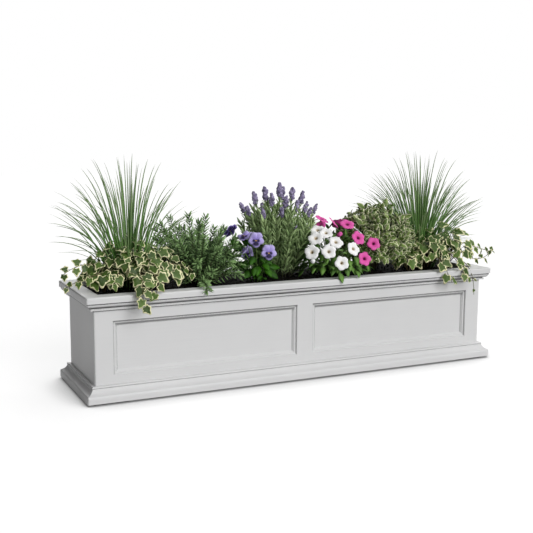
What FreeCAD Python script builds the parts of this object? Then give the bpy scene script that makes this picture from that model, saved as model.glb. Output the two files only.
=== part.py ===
import FreeCAD, Part
import math
import os
from collections import namedtuple
from FreeCAD import Vector

# Planted window box with a crown rim, a panelled front and a stepped base, standing on low pads.
# Millimetres. +Z up, X along the box, Y from the front to the back, origin on the ground under the middle.

# Outer shell: walls, and the height of the rim above the ground
wall_length = 1174.0
wall_depth = 251.0
wall_thickness = 4.0
total_height = 271.0
corner_radius = 5.0

# Crown moulding, from the rim down to the wall. A reach is measured out from the wall.
crown_reach = 22.5
fascia_height = 16.0
rim_round = 4.0
rim_width = 39.0
ovolo_reach = 18.0
ovolo_radius = 9.5
ovolo_flat = 2.5
quirk_height = 2.5
quirk_depth = 3.0
band_reach = 8.5
band_height = 5.0
band_round = 1.5

# Base moulding, from the ground up to the wall
base_reach = 25.0
nose_height = 11.0
shoulder_rise = 8.0
shoulder_draw = 2.5
shoulder_bow = 0.9
cove_rise = 15.0
cove_draw = 14.5
cove_hollow = 2.5
bead_setback = 2.0
bead_radius = 3.0

# Two sunk panels in the front wall, each with a stepped and drafted frame
middle_stile = 47.0
end_stile = 49.0
bottom_rail = 22.7
top_rail = 30.0
frame_step_depth = 4.0
frame_step_draft = 3.0
frame_land = 3.5
field_step_depth = 5.0
field_step_draft = 6.0

# Seat of the liner inside the rim
seat_depth = 20.5
seat_width = 8.0

# Feet: low pads with two pegs each, pushed up into blind bosses of the floor
foot_height = 5.0
foot_length = 95.0
foot_width = 38.0
foot_corner = 6.0
foot_end_inset = 17.5
foot_side_inset = 10.5
peg_spacing = 50.0
peg_radius = 5.0
peg_length = 8.0
peg_clearance = 0.15
peg_end_gap = 1.0

# Wall inserts: threaded bushes moulded into bosses of the back wall
insert_spacing_x = 812.8
insert_spacing_z = 90.0
insert_middle_z = 150.0
insert_radius = 6.5
insert_bore = 3.4
insert_length = 16.0
insert_clearance = 0.05
boss_wall = 5.0

# Overflow outlets in the back wall: a rubber grommet and a stopper that pulls out
outlet_spacing = 600.0
outlet_height = 62.0
grommet_radius = 9.0
grommet_bore = 6.0
grommet_flange = 3.5
grommet_flange_thickness = 2.0
grommet_clearance = 0.1
stopper_clearance = 0.15
stopper_head_radius = 10.5
stopper_head_thickness = 3.0
stopper_grip_length = 12.0
stopper_grip_width = 4.0
stopper_grip_reach = 7.0

# Planting liner: a tapered tub that stands on the shell floor on hollow wick wells
liner_thickness = 3.0
liner_clearance = 1.0
liner_draft = 6.0
lip_clearance = 0.6
lip_gap = 0.4
reservoir_depth = 56.0
well_count = 5
well_end_inset = 98.5
well_top_radius = 34.0
well_bottom_radius = 28.0
wick_hole_radius = 3.0
wick_hole_height = 12.0
drain_hole_radius = 4.0
drain_hole_row = 55.0
drain_hole_offset = 55.0

# Soil: fills the liner, lies over its lip and heaps a little in the middle
soil_gap = 0.3
soil_below_rim = 9.0
soil_shoulder = 4.0
soil_slope = 22.0

# Plants: each has a root ball in a pocket of the soil. Along and across place it in the opening,
# as shares of the opening's half length and half depth, and the other sizes stand above the soil.
root_depth = 85.0
root_taper = 0.8
root_gap = 0.3
leaf_gap = 0.5
shoulder_width = 0.84
shoulder_height = 0.5
Bush = namedtuple("Bush", "along across root crown spread wide top")
pansy = Bush(along=-0.196, across=-0.55, root=26.0, crown=30.0, spread=62.0, wide=32.0, top=72.0)
petunia = Bush(along=0.237, across=-0.367, root=36.0, crown=62.0, spread=112.0, wide=52.0, top=150.0)
rosemary = Bush(along=-0.459, across=0.046, root=40.0, crown=72.0, spread=122.0, wide=118.0, top=182.0)
lavender = Bush(along=-0.014, across=0.275, root=38.0, crown=60.0, spread=104.0, wide=130.0, top=178.0)
shrub = Bush(along=0.529, across=0.073, root=38.0, crown=70.0, spread=108.0, wide=90.0, top=180.0)
ivy_left = Bush(along=-0.92, across=-0.532, root=24.0, crown=40.0, spread=72.0, wide=30.0, top=80.0)
ivy_left_sprawl = Bush(along=-0.736, across=-0.532, root=24.0, crown=50.0, spread=84.0, wide=50.0, top=112.0)
ivy_right = Bush(along=0.938, across=-0.477, root=24.0, crown=40.0, spread=80.0, wide=40.0, top=98.0)
ivy_right_sprawl = Bush(along=0.789, across=-0.569, root=24.0, crown=40.0, spread=70.0, wide=30.0, top=72.0)

# Grass clumps: rings of blades that lean further out from ring to ring
grass_along = 0.7975
grass_root = 44.0
blade_width = 4.0
blade_thickness = 2.2
Ring = namedtuple("Ring", "blades radius reach height")
grass_rings = [
    Ring(blades=4, radius=6.0, reach=22.0, height=350.0),
    Ring(blades=8, radius=17.0, reach=66.0, height=330.0),
    Ring(blades=12, radius=29.0, reach=118.0, height=292.0),
    Ring(blades=16, radius=41.0, reach=160.0, height=225.0),
]
blade_bow_out = 0.36
blade_bow_up = 0.60

# Lavender flower spikes, on slim stalks that fan out of the mound
spike_length = 44.0
spike_radius = 7.0
spike_waist = 0.33
stalk_radius = 2.0
SpikeRing = namedtuple("SpikeRing", "spikes foot tip height")
spike_rings = [
    SpikeRing(spikes=4, foot=14.0, tip=34.0, height=258.0),
    SpikeRing(spikes=12, foot=42.0, tip=112.0, height=226.0),
]

# Open flowers: shallow discs on the mounds, turned to the front
pansy_flower_radius = 22.0
petunia_flower_radius = 23.0
flower_thickness = 5.0
flower_stand_off = 3.0
petunia_rows = [(20.0, 5), (45.0, 5), (68.0, 3)]
pansy_rows = [(35.0, 3), (75.0, 2)]
flower_row_arc = 150.0

# Ivy runners: leafy strands that lie over the rim, hang down the front and reach past the ends
runner_thickness = 6.0
runner_width = 30.0
runner_gap = 1.5
runner_offsets_left = [-50.0, -5.0]
runner_offsets_right = [28.0]
runner_front_drop = 42.0
runner_reach = 70.5
runner_end_drop = 34.0
runner_end_rise = 40.0

# Levels and plan sizes that follow from the values above
shell_bottom = foot_height
floor_top = shell_bottom + wall_thickness
rim_top = total_height
rim_plate_bottom = rim_top - wall_thickness
fascia_bottom = rim_top - fascia_height
ovolo_bottom = fascia_bottom - ovolo_flat - ovolo_radius
band_top = ovolo_bottom - quirk_height
band_bottom = band_top - band_height
nose_top = shell_bottom + nose_height
cove_bottom = nose_top + shoulder_rise
bead_bottom = cove_bottom + cove_rise
bead_top = bead_bottom + 2 * bead_radius
front_y = -wall_depth / 2
back_y = wall_depth / 2
rim_length = wall_length + 2 * crown_reach
rim_depth = wall_depth + 2 * crown_reach
opening_length = rim_length - 2 * rim_width
opening_depth = rim_depth - 2 * rim_width
seat_top = rim_top - seat_depth
seat_bottom = seat_top - wall_thickness
throat_length = opening_length - 2 * seat_width
throat_depth = opening_depth - 2 * seat_width
panel_width = (wall_length - middle_stile - 2 * end_stile) / 2
panel_bottom = bead_top + bottom_rail
panel_top = band_bottom - top_rail
panel_depth = frame_step_depth + field_step_depth
liner_bottom = floor_top + reservoir_depth
liner_floor_top = liner_bottom + liner_thickness
lip_bottom = seat_top + lip_gap
lip_top = lip_bottom + liner_thickness
soil_top = rim_top - soil_below_rim + soil_shoulder
soil_edge = rim_top - soil_below_rim
grass_x = grass_along * opening_length / 2

# Plan places that several pieces share
well_pitch = (throat_length - 2 * well_end_inset) / (well_count - 1)
well_xs = [(index - (well_count - 1) / 2) * well_pitch for index in range(well_count)]
foot_x = wall_length / 2 + base_reach - foot_end_inset - foot_length / 2
foot_y = wall_depth / 2 + base_reach - foot_side_inset - foot_width / 2
foot_places = {
    "front_left": (-foot_x, -foot_y),
    "front_right": (foot_x, -foot_y),
    "rear_left": (-foot_x, foot_y),
    "rear_right": (foot_x, foot_y),
}
insert_places = [
    (x * insert_spacing_x / 2, insert_middle_z + z * insert_spacing_z / 2)
    for x in (-1, 1)
    for z in (-1, 1)
]
outlet_places = {"left": -outlet_spacing / 2, "right": outlet_spacing / 2}
along_y = Vector(0, 1, 0)


# Shared shapes

def block(length, depth, bottom, top):
    """Upright block centred on the origin."""
    return Part.makeBox(length, depth, top - bottom, Vector(-length / 2, -depth / 2, bottom))


def frame_of(length, depth, hole_length, hole_depth, bottom, top):
    """Upright block with a rectangular hole through it."""
    return block(length, depth, bottom, top).cut(block(hole_length, hole_depth, bottom, top))


def rectangle(corners):
    """Closed wire through the given corners."""
    return Part.makePolygon(corners + corners[:1])


def tapered_block(low, bottom, high, top):
    """Block between a low and a high (length, depth) rectangle."""
    wires = []
    for (length, depth), z in ((low, bottom), (high, top)):
        x, y = length / 2, depth / 2
        corners = [Vector(-x, -y, z), Vector(x, -y, z), Vector(x, y, z), Vector(-x, y, z)]
        wires.append(rectangle(corners))
    return Part.makeLoft(wires, True, True)


def rounded_block(length, depth, bottom, top, radius):
    """Upright block with rounded upright edges."""
    body = block(length, depth, bottom, top)
    uprights = [edge for edge in body.Edges if abs(edge.tangentAt(edge.FirstParameter).z) > 0.5]
    return body.makeFillet(radius, uprights)


def lathe(profile, axis_point, axis):
    """Solid of revolution of a closed face about an axis."""
    return Part.Face(profile).revolve(axis_point, axis, 360)


# Outer shell

def moulding_edges(half, spot):
    """Edges of one side of the shell's section, from the ground up to the rim."""
    nose = half + base_reach
    shoulder = nose - shoulder_draw
    cove_top = shoulder - cove_draw
    neck = cove_top - bead_setback
    band = half + band_reach
    quirk = band - quirk_depth
    ovolo = half + ovolo_reach
    root = ovolo - ovolo_radius
    fascia = half + crown_reach

    def line(start, end):
        return Part.makeLine(spot(*start), spot(*end))

    def arc(centre, radius, start, end):
        turns = [math.radians(angle) for angle in (start, (start + end) / 2, end)]
        points = [spot(centre[0] + radius * math.cos(a), centre[1] + radius * math.sin(a)) for a in turns]
        return Part.Arc(*points).toShape()

    def bowed(start, end, bow):
        run, rise = end[0] - start[0], end[1] - start[1]
        share = bow / math.hypot(run, rise)
        middle = ((start[0] + end[0]) / 2 + share * rise, (start[1] + end[1]) / 2 - share * run)
        return Part.Arc(spot(*start), spot(*middle), spot(*end)).toShape()

    return [
        line((nose, shell_bottom), (nose, nose_top)),
        bowed((nose, nose_top), (shoulder, cove_bottom), shoulder_bow),
        bowed((shoulder, cove_bottom), (cove_top, bead_bottom), -cove_hollow),
        line((cove_top, bead_bottom), (neck, bead_bottom)),
        arc((neck, bead_bottom + bead_radius), bead_radius, -90, 90),
        line((neck, bead_top), (half, bead_top)),
        line((half, bead_top), (half, band_bottom)),
        line((half, band_bottom), (band, band_bottom)),
        line((band, band_bottom), (band, band_top - band_round)),
        arc((band - band_round, band_top - band_round), band_round, 0, 90),
        line((band - band_round, band_top), (quirk, band_top)),
        line((quirk, band_top), (quirk, ovolo_bottom)),
        line((quirk, ovolo_bottom), (root, ovolo_bottom)),
        arc((root, ovolo_bottom + ovolo_radius), ovolo_radius, -90, 0),
        line((ovolo, ovolo_bottom + ovolo_radius), (ovolo, fascia_bottom)),
        line((ovolo, fascia_bottom), (fascia, fascia_bottom)),
        line((fascia, fascia_bottom), (fascia, rim_top - rim_round)),
        arc((fascia - rim_round, rim_top - rim_round), rim_round, 0, 90),
    ]


def moulding_prism(half, run, spot, direction):
    """Full symmetric section, drawn out over a run along a direction."""
    edges = moulding_edges(half, spot)
    mirrored = [edge.mirror(Vector(0, 0, 0), spot(1, 0)) for edge in edges]
    nose = half + base_reach
    lip = half + crown_reach - rim_round
    edges.append(Part.makeLine(spot(-nose, shell_bottom), spot(nose, shell_bottom)))
    edges.append(Part.makeLine(spot(-lip, rim_top), spot(lip, rim_top)))
    outline = Part.Wire(Part.__sortEdges__(edges + mirrored))
    section = Part.Face(outline)
    section.translate(direction * (-run / 2))
    return section.extrude(direction * run)


def moulded_block():
    """Solid outside form: the moulded section run round all four sides and mitred at the corners."""
    reach = max(base_reach, crown_reach)
    across = moulding_prism(
        wall_depth / 2, wall_length + 4 * reach, lambda u, z: Vector(0, u, z), Vector(1, 0, 0)
    )
    along = moulding_prism(
        wall_length / 2, wall_depth + 4 * reach, lambda u, z: Vector(u, 0, z), Vector(0, 1, 0)
    )
    body = across.common(along)
    lower_reach, upper_reach = 2 * base_reach, 2 * crown_reach
    lower = rounded_block(
        wall_length + lower_reach, wall_depth + lower_reach, shell_bottom, bead_top, corner_radius
    )
    upper = rounded_block(
        wall_length + upper_reach, wall_depth + upper_reach, bead_top, rim_top, corner_radius
    )
    body = body.common(lower.fuse(upper)).removeSplitter()
    uprights = []
    for edge in body.Edges:
        middle = edge.CenterOfMass
        at_corner = abs(abs(middle.x) - wall_length / 2) < 0.01 and abs(abs(middle.y) - wall_depth / 2) < 0.01
        if at_corner:
            uprights.append(edge)
    return body.makeFillet(corner_radius, uprights)


def shell_hollow():
    """Space inside the walls, with the hollows behind the base nose and the rim fascia."""
    inside_length = wall_length - 2 * wall_thickness
    inside_depth = wall_depth - 2 * wall_thickness
    main = block(inside_length, inside_depth, floor_top, rim_plate_bottom)
    nose_reach = 2 * base_reach
    nose = block(inside_length + nose_reach, inside_depth + nose_reach, floor_top, nose_top)
    rim_reach = 2 * crown_reach
    rim = block(
        inside_length + rim_reach,
        inside_depth + rim_reach,
        fascia_bottom + wall_thickness,
        rim_plate_bottom,
    )
    return main.fuse([nose, rim])


def panel_centres():
    """Middle of each front panel along the box."""
    offset = (middle_stile + panel_width) / 2
    return [-offset, offset]


def drafted_pocket(centre_x, inset, near_y, depth, draft):
    """Panel pocket from near_y back by depth, with sides that draw in by draft."""
    wires = []
    for y, margin in ((near_y, inset), (near_y + depth, inset + draft)):
        x0 = centre_x - panel_width / 2 + margin
        x1 = centre_x + panel_width / 2 - margin
        z0 = panel_bottom + margin
        z1 = panel_top - margin
        wires.append(rectangle([Vector(x0, y, z0), Vector(x1, y, z0), Vector(x1, y, z1), Vector(x0, y, z1)]))
    return Part.makeLoft(wires, True, True)


def panel_pan(centre_x):
    """Thickening behind one panel, a wall's thickness deeper and wider than its pocket."""
    margin = wall_thickness
    return Part.makeBox(
        panel_width + 2 * margin,
        panel_depth,
        panel_top - panel_bottom + 2 * margin,
        Vector(centre_x - panel_width / 2 - margin, front_y + wall_thickness, panel_bottom - margin),
    )


def outer_shell():
    body = moulded_block().cut(shell_hollow())
    body = body.cut(block(opening_length, opening_depth, rim_plate_bottom, rim_top))
    skirt_length = opening_length + 2 * wall_thickness
    skirt_depth = opening_depth + 2 * wall_thickness
    additions = [
        frame_of(skirt_length, skirt_depth, opening_length, opening_depth, seat_bottom, rim_plate_bottom),
        frame_of(skirt_length, skirt_depth, throat_length, throat_depth, seat_bottom, seat_top),
    ]
    cuts = []
    for centre_x in panel_centres():
        additions.append(panel_pan(centre_x))
        cuts.append(drafted_pocket(centre_x, 0.0, front_y, frame_step_depth, frame_step_draft))
        field_inset = frame_step_draft + frame_land
        field_y = front_y + frame_step_depth
        cuts.append(drafted_pocket(centre_x, field_inset, field_y, field_step_depth, field_step_draft))
    hole_radius = peg_radius + peg_clearance
    hole_depth = peg_length + peg_end_gap
    for x, y in foot_places.values():
        for side in (-1, 1):
            spot = Vector(x + side * peg_spacing / 2, y, shell_bottom)
            additions.append(Part.makeCylinder(hole_radius + boss_wall, hole_depth + wall_thickness, spot))
            cuts.append(Part.makeCylinder(hole_radius, hole_depth, spot))
    insert_hole = insert_radius + insert_clearance
    inward = Vector(0, -1, 0)
    for x, z in insert_places:
        wall_face = Vector(x, back_y, z)
        boss_end = insert_length + insert_clearance
        additions.append(Part.makeCylinder(insert_hole + boss_wall, boss_end, wall_face, inward))
        cuts.append(Part.makeCylinder(insert_hole, boss_end, wall_face, inward))
    for x in outlet_places.values():
        hole = grommet_radius + grommet_clearance
        cuts.append(Part.makeCylinder(hole, wall_thickness, Vector(x, back_y, outlet_height), inward))
    body = body.fuse(additions)
    for cut in cuts:
        body = body.cut(cut)
    return body.removeSplitter()


# Feet

def foot(x, y):
    """Pad under one corner, with its two pegs."""
    pad = rounded_block(foot_length, foot_width, 0.0, foot_height, foot_corner)
    pad.translate(Vector(x, y, 0))
    pegs = []
    for side in (-1, 1):
        spot = Vector(x + side * peg_spacing / 2, y, 0.0)
        pegs.append(Part.makeCylinder(peg_radius, foot_height + peg_length, spot))
    return pad.fuse(pegs).removeSplitter()


# Wall inserts, grommets and stoppers of the back wall

def wall_insert(x, z):
    """Threaded bush, flush with the back wall."""
    spot = Vector(x, back_y, z)
    inward = Vector(0, -1, 0)
    bush = Part.makeCylinder(insert_radius, insert_length, spot, inward)
    return bush.cut(Part.makeCylinder(insert_bore, insert_length, spot, inward))


def grommet(x):
    """Rubber ring in the wall hole, with a flange on each side of the wall."""
    outside_face = back_y + grommet_flange_thickness
    span = wall_thickness + 2 * grommet_flange_thickness
    inward = Vector(0, -1, 0)
    start = Vector(x, outside_face, outlet_height)
    flange_radius = grommet_radius + grommet_flange
    ring = Part.makeCylinder(grommet_radius, span, start, inward)
    outer = Part.makeCylinder(flange_radius, grommet_flange_thickness, start, inward)
    inner_face = Vector(x, back_y - wall_thickness, outlet_height)
    inner = Part.makeCylinder(flange_radius, grommet_flange_thickness, inner_face, inward)
    ring = ring.fuse([outer, inner]).removeSplitter()
    return ring.cut(Part.makeCylinder(grommet_bore, span, start, inward))


def stopper(x):
    """Stopper in the grommet: stem, head and a flat grip to pull it by."""
    head_face = back_y + grommet_flange_thickness
    stem_length = wall_thickness + 2 * grommet_flange_thickness
    centre = Vector(x, head_face, outlet_height)
    stem = Part.makeCylinder(grommet_bore - stopper_clearance, stem_length, centre, Vector(0, -1, 0))
    head = Part.makeCylinder(stopper_head_radius, stopper_head_thickness, centre, along_y)
    corner = Vector(x - stopper_grip_length / 2, head_face, outlet_height - stopper_grip_width / 2)
    grip_depth = stopper_head_thickness + stopper_grip_reach
    grip = Part.makeBox(stopper_grip_length, grip_depth, stopper_grip_width, corner)
    return stem.fuse([head, grip]).removeSplitter()


# Planting liner

def liner_size(z, shrink):
    """Length and depth of the tapered tub at a level, taken in by shrink on each side."""
    share = (lip_bottom - z) / (lip_bottom - liner_bottom)
    taken = liner_clearance + liner_draft * share + shrink
    return throat_length - 2 * taken, throat_depth - 2 * taken


def tub(shrink, bottom, top):
    """Tapered block that follows the inside or outside of the tub."""
    return tapered_block(liner_size(bottom, shrink), bottom, liner_size(top, shrink), top)


def well(x, shrink, bottom, top):
    """Cone that follows the inside or outside of one wick well."""
    low = well_bottom_radius - shrink
    high = well_top_radius - shrink
    return Part.makeCone(low, high, top - bottom, Vector(x, 0, bottom))


def liner():
    lip_length = opening_length - 2 * lip_clearance
    lip_depth = opening_depth - 2 * lip_clearance
    body = tub(0.0, liner_bottom, lip_bottom).fuse(block(lip_length, lip_depth, lip_bottom, lip_top))
    body = body.fuse([well(x, 0.0, floor_top, liner_floor_top) for x in well_xs])
    body = body.cut(tub(liner_thickness, liner_floor_top, lip_top))
    for x in well_xs:
        body = body.cut(well(x, liner_thickness, floor_top + liner_thickness, liner_floor_top))
        for direction in (Vector(1, 0, 0), along_y):
            start = Vector(x, 0, floor_top + wick_hole_height) - direction * well_top_radius
            body = body.cut(Part.makeCylinder(wick_hole_radius, 2 * well_top_radius, start, direction))
    for index in range(well_count - 1):
        bay_middle = (well_xs[index] + well_xs[index + 1]) / 2
        for dx in (-drain_hole_offset, drain_hole_offset):
            for y in (-drain_hole_row, drain_hole_row):
                spot = Vector(bay_middle + dx, y, liner_bottom)
                body = body.cut(Part.makeCylinder(drain_hole_radius, liner_thickness, spot))
    return body.removeSplitter()


# Plants

def place_of(plant):
    """Middle of a plant in plan."""
    return Vector(plant.along * opening_length / 2, plant.across * opening_depth / 2, 0)


def root_ball(x, y, radius, gap):
    """Tapered ball of roots, or its pocket when a gap is given."""
    low = radius * root_taper + gap
    high = radius + gap
    return Part.makeCone(low, high, root_depth + gap, Vector(x, y, soil_top - root_depth - gap))


def dome(plant, grow):
    """Leafy mound: a flared foot, sides that draw in to a shoulder, and a round cap."""
    spread = plant.spread + grow
    crown = plant.crown + grow
    shoulder = spread * shoulder_width
    low_z = soil_top + leaf_gap - grow
    wide_z = soil_top + plant.wide
    top_z = soil_top + plant.top + grow
    shoulder_z = wide_z + (top_z - wide_z) * shoulder_height
    cap_rise = top_z - shoulder_z
    cap_radius = (shoulder ** 2 + cap_rise ** 2) / (2 * cap_rise)
    cap_middle = math.atan2(shoulder, cap_radius - cap_rise) / 2

    middle = place_of(plant)

    def spot(radius, z):
        return middle + Vector(radius, 0, z)

    on_cap = spot(cap_radius * math.sin(cap_middle), top_z - cap_radius * (1 - math.cos(cap_middle)))
    outline = Part.Wire([
        Part.makeLine(spot(0, low_z), spot(crown, low_z)),
        Part.makeLine(spot(crown, low_z), spot(spread, wide_z)),
        Part.makeLine(spot(spread, wide_z), spot(shoulder, shoulder_z)),
        Part.Arc(spot(shoulder, shoulder_z), on_cap, spot(0, top_z)).toShape(),
        Part.makeLine(spot(0, top_z), spot(0, low_z)),
    ])
    return lathe(outline, middle, Vector(0, 0, 1))


def neck(plant):
    """Short stem between the root ball and the mound."""
    reach = leaf_gap + plant.wide
    return Part.makeCylinder(plant.root / 2, reach, place_of(plant) + Vector(0, 0, soil_top))


def flower(plant, radius, tilt, turn):
    """Disc on the mound, facing out at a tilt from upright and a turn from the front."""
    tilt, turn = math.radians(tilt), math.radians(turn)
    out = Vector(math.sin(tilt) * math.sin(turn), -math.sin(tilt) * math.cos(turn), math.cos(tilt))
    wide_z = soil_top + plant.wide
    rise = plant.top - plant.wide
    stand = Vector(plant.spread * out.x, plant.spread * out.y, wide_z + rise * out.z)
    on_mound = place_of(plant) + stand
    back = on_mound - out * flower_thickness
    return Part.makeCylinder(radius, 2 * flower_thickness + flower_stand_off, back, out)


def flowers(plant, radius, rows):
    """Rows of flowers over the front of the mound."""
    discs = []
    for tilt, count in rows:
        for index in range(count):
            turn = flower_row_arc * ((index + 0.5) / count - 0.5)
            discs.append(flower(plant, radius, tilt, turn))
    return discs


def spike(plant, foot_out, tip_out, height, angle):
    """Stalk with a flower spike at its end, leaning out at an angle in plan."""
    out = Vector(math.cos(angle), math.sin(angle), 0)
    base = place_of(plant) + Vector(0, 0, soil_top)
    start = base + out * foot_out + Vector(0, 0, plant.wide)
    end = base + out * tip_out + Vector(0, 0, height)
    lean = end - start
    stalk_length = lean.Length - spike_length
    lower_part = spike_length * spike_waist
    stalk = Part.makeCylinder(stalk_radius, stalk_length + lower_part, start, lean)
    lean.normalize()
    waist = start + lean * (stalk_length + lower_part)
    low = Part.makeCone(stalk_radius, spike_radius, lower_part, start + lean * stalk_length, lean)
    high = Part.makeCone(spike_radius, stalk_radius, spike_length - lower_part, waist, lean)
    return stalk.fuse([low, high])


def spikes(plant):
    """All the flower spikes, ring by ring."""
    stalks = []
    for ring in spike_rings:
        for index in range(ring.spikes):
            angle = 2 * math.pi * (index + 0.5) / ring.spikes
            stalks.append(spike(plant, ring.foot, ring.tip, ring.height, angle))
    return stalks


def blade_outline(ring, half_thickness):
    """Two arcs of one blade in the (out, up) plane, from the base to the tip."""
    tip = Vector(ring.radius + ring.reach, 0, soil_top + ring.height)
    arcs = []
    ends = []
    for side in (-1, 1):
        base = Vector(ring.radius + side * half_thickness, 0, soil_top)
        bow = Vector(
            ring.radius + blade_bow_out * ring.reach + side * half_thickness,
            0,
            soil_top + blade_bow_up * ring.height,
        )
        arcs.append(Part.Arc(base, bow, tip).toShape())
        ends.append(base)
    return arcs, ends


def grass(centre_x):
    """Root ball with separate curved blades standing on it."""
    solids = [root_ball(centre_x, 0.0, grass_root, 0.0)]
    for ring in grass_rings:
        arcs, ends = blade_outline(ring, blade_thickness / 2)
        foot_line = Part.makeLine(ends[0], ends[1])
        face = Part.Face(Part.Wire(Part.__sortEdges__(arcs + [foot_line])))
        face.translate(Vector(0, -blade_width / 2, 0))
        blade = face.extrude(Vector(0, blade_width, 0))
        for index in range(ring.blades):
            turned = blade.copy()
            turned.rotate(Vector(0, 0, 0), Vector(0, 0, 1), 360.0 * index / ring.blades)
            turned.translate(Vector(centre_x, 0, 0))
            solids.append(turned)
    return Part.makeCompound(solids)


def grass_room(centre_x):
    """Room that a clump's blades take, which the mounds beside it keep out of."""
    outer = grass_rings[-1]
    half = blade_thickness / 2 + blade_width
    arcs, ends = blade_outline(outer, half)
    inner_top = soil_top + outer.height
    outer_arc = arcs[1]
    foot = Vector(0, 0, soil_top)
    top = Vector(0, 0, inner_top)
    tip = Vector(outer.radius + outer.reach, 0, inner_top)
    outline = Part.Wire([
        Part.makeLine(foot, ends[1]),
        outer_arc,
        Part.makeLine(tip, top),
        Part.makeLine(top, foot),
    ])
    room = lathe(outline, Vector(0, 0, 0), Vector(0, 0, 1))
    column = Part.makeCylinder(outer.radius + outer.reach, outer.height, top)
    room = room.fuse(column)
    room.translate(Vector(centre_x, 0, 0))
    return room


def rim_room():
    """The rim and the air just over it, which all the foliage keeps out of."""
    hole_length = opening_length - 2 * lip_clearance
    hole_depth = opening_depth - 2 * lip_clearance
    return frame_of(rim_length, rim_depth, hole_length, hole_depth, lip_top, rim_top + leaf_gap)


def front_runner(x, drop):
    """Strand that lies over the front of the rim and hangs down before the fascia."""
    face_y = -rim_depth / 2 - runner_gap
    low = rim_top + runner_gap
    high = low + runner_thickness
    inner_y = -opening_depth / 2 + rim_width / 2
    corners = [
        Vector(x, inner_y, low),
        Vector(x, face_y, low),
        Vector(x, face_y, rim_top - drop),
        Vector(x, face_y - runner_thickness, rim_top - drop),
        Vector(x, face_y - runner_thickness, low),
        Vector(x, face_y, high),
        Vector(x, inner_y, high),
    ]
    strip = Part.Face(rectangle(corners)).extrude(Vector(runner_width, 0, 0))
    strip.translate(Vector(-runner_width / 2, 0, 0))
    return strip


def end_runner(side, plant):
    """Strand that arches over the end rim and droops past it."""
    root = place_of(plant)
    root_x = root.x
    low = rim_top + runner_gap
    rise = rim_top + runner_end_rise
    edge_x = side * (rim_length / 2 + runner_gap)
    tip_x = side * (rim_length / 2 + runner_reach)
    inner_tip = tip_x - side * runner_thickness
    corners = [
        Vector(root_x, 0, low + runner_thickness),
        Vector(edge_x, 0, rise - runner_thickness),
        Vector(inner_tip, 0, rise - 2 * runner_thickness),
        Vector(inner_tip, 0, rim_top + runner_end_rise - runner_end_drop),
        Vector(tip_x, 0, rim_top + runner_end_rise - runner_end_drop),
        Vector(tip_x, 0, rise - runner_thickness),
        Vector(edge_x, 0, rise),
        Vector(root_x, 0, rise),
    ]
    strip = Part.Face(rectangle(corners)).extrude(Vector(0, runner_width, 0))
    strip.translate(Vector(0, root.y - runner_width / 2, 0))
    return strip


def ivy_growth(sprawl, plant, side, offsets):
    """Second mound and runners of an ivy."""
    runners = [front_runner(place_of(sprawl).x + offset, runner_front_drop) for offset in offsets]
    return [dome(sprawl, 0.0), end_runner(side, plant)] + runners


def planted(plant, extras, keep_outs):
    """One plant as a solid: root ball, neck, mound and what grows on it, clear of its neighbours."""
    growth = dome(plant, 0.0).fuse(extras) if extras else dome(plant, 0.0)
    for room in keep_outs:
        growth = growth.cut(room)
    spot = place_of(plant)
    body = root_ball(spot.x, spot.y, plant.root, 0.0).fuse([neck(plant), growth])
    solids = sorted(body.removeSplitter().Solids, key=lambda solid: solid.Volume)
    return solids[-1]


def planting():
    """All the plants by node name. The first ones keep their full form and the later ones make way."""
    rooms = [rim_room(), grass_room(-grass_x), grass_room(grass_x)]
    plants = {"grass_left": grass(-grass_x), "grass_right": grass(grass_x)}
    pansy_flowers = flowers(pansy, pansy_flower_radius, pansy_rows)
    pansy_room = flowers(pansy, pansy_flower_radius + leaf_gap, pansy_rows)
    petunia_flowers = flowers(petunia, petunia_flower_radius, petunia_rows)
    petunia_room = flowers(petunia, petunia_flower_radius + leaf_gap, petunia_rows)
    left_growth = ivy_growth(ivy_left_sprawl, ivy_left, -1, runner_offsets_left)
    right_growth = ivy_growth(ivy_right_sprawl, ivy_right, 1, runner_offsets_right)
    order = [
        ("pansy", pansy, pansy_flowers, pansy_room),
        ("petunia", petunia, petunia_flowers, petunia_room),
        ("rosemary", rosemary, [], []),
        ("lavender", lavender, spikes(lavender), []),
        ("variegated_shrub", shrub, [], []),
        ("ivy_left", ivy_left, left_growth, []),
        ("ivy_right", ivy_right, right_growth, []),
    ]
    for name, plant, extras, extra_rooms in order:
        plants[name] = planted(plant, extras, rooms)
        rooms += [dome(plant, leaf_gap)] + extra_rooms
    return plants


# Soil

def soil():
    """Soil in the liner and its wells, over the lip and heaped in the middle, with the root pockets."""
    shrink = liner_thickness + soil_gap
    body = tub(shrink, liner_floor_top + soil_gap, lip_top + soil_gap)
    wicks = [
        well(x, shrink, floor_top + liner_thickness + soil_gap, liner_floor_top + soil_gap) for x in well_xs
    ]
    layer_length = opening_length - 2 * lip_clearance
    layer_depth = opening_depth - 2 * lip_clearance
    layer = block(layer_length, layer_depth, lip_top + soil_gap, soil_edge)
    heap = tapered_block(
        (layer_length, layer_depth),
        soil_edge,
        (layer_length - 2 * soil_slope, layer_depth - 2 * soil_slope),
        soil_top,
    )
    body = body.fuse(wicks + [layer, heap]).removeSplitter()
    for x in (-grass_x, grass_x):
        body = body.cut(root_ball(x, 0.0, grass_root, root_gap))
    for plant in (pansy, petunia, rosemary, lavender, shrub, ivy_left, ivy_right):
        spot = place_of(plant)
        body = body.cut(root_ball(spot.x, spot.y, plant.root, root_gap))
    return body


# All nodes

nodes = {"outer_shell": outer_shell(), "planting_liner": liner(), "soil_bed": soil()}
for place, (x, y) in foot_places.items():
    nodes["foot_" + place] = foot(x, y)
nodes["wall_inserts"] = Part.makeCompound([wall_insert(x, z) for x, z in insert_places])
for place, x in outlet_places.items():
    nodes["outlet_grommet_" + place] = grommet(x)
    nodes["outlet_stopper_" + place] = stopper(x)
nodes.update(planting())

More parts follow.
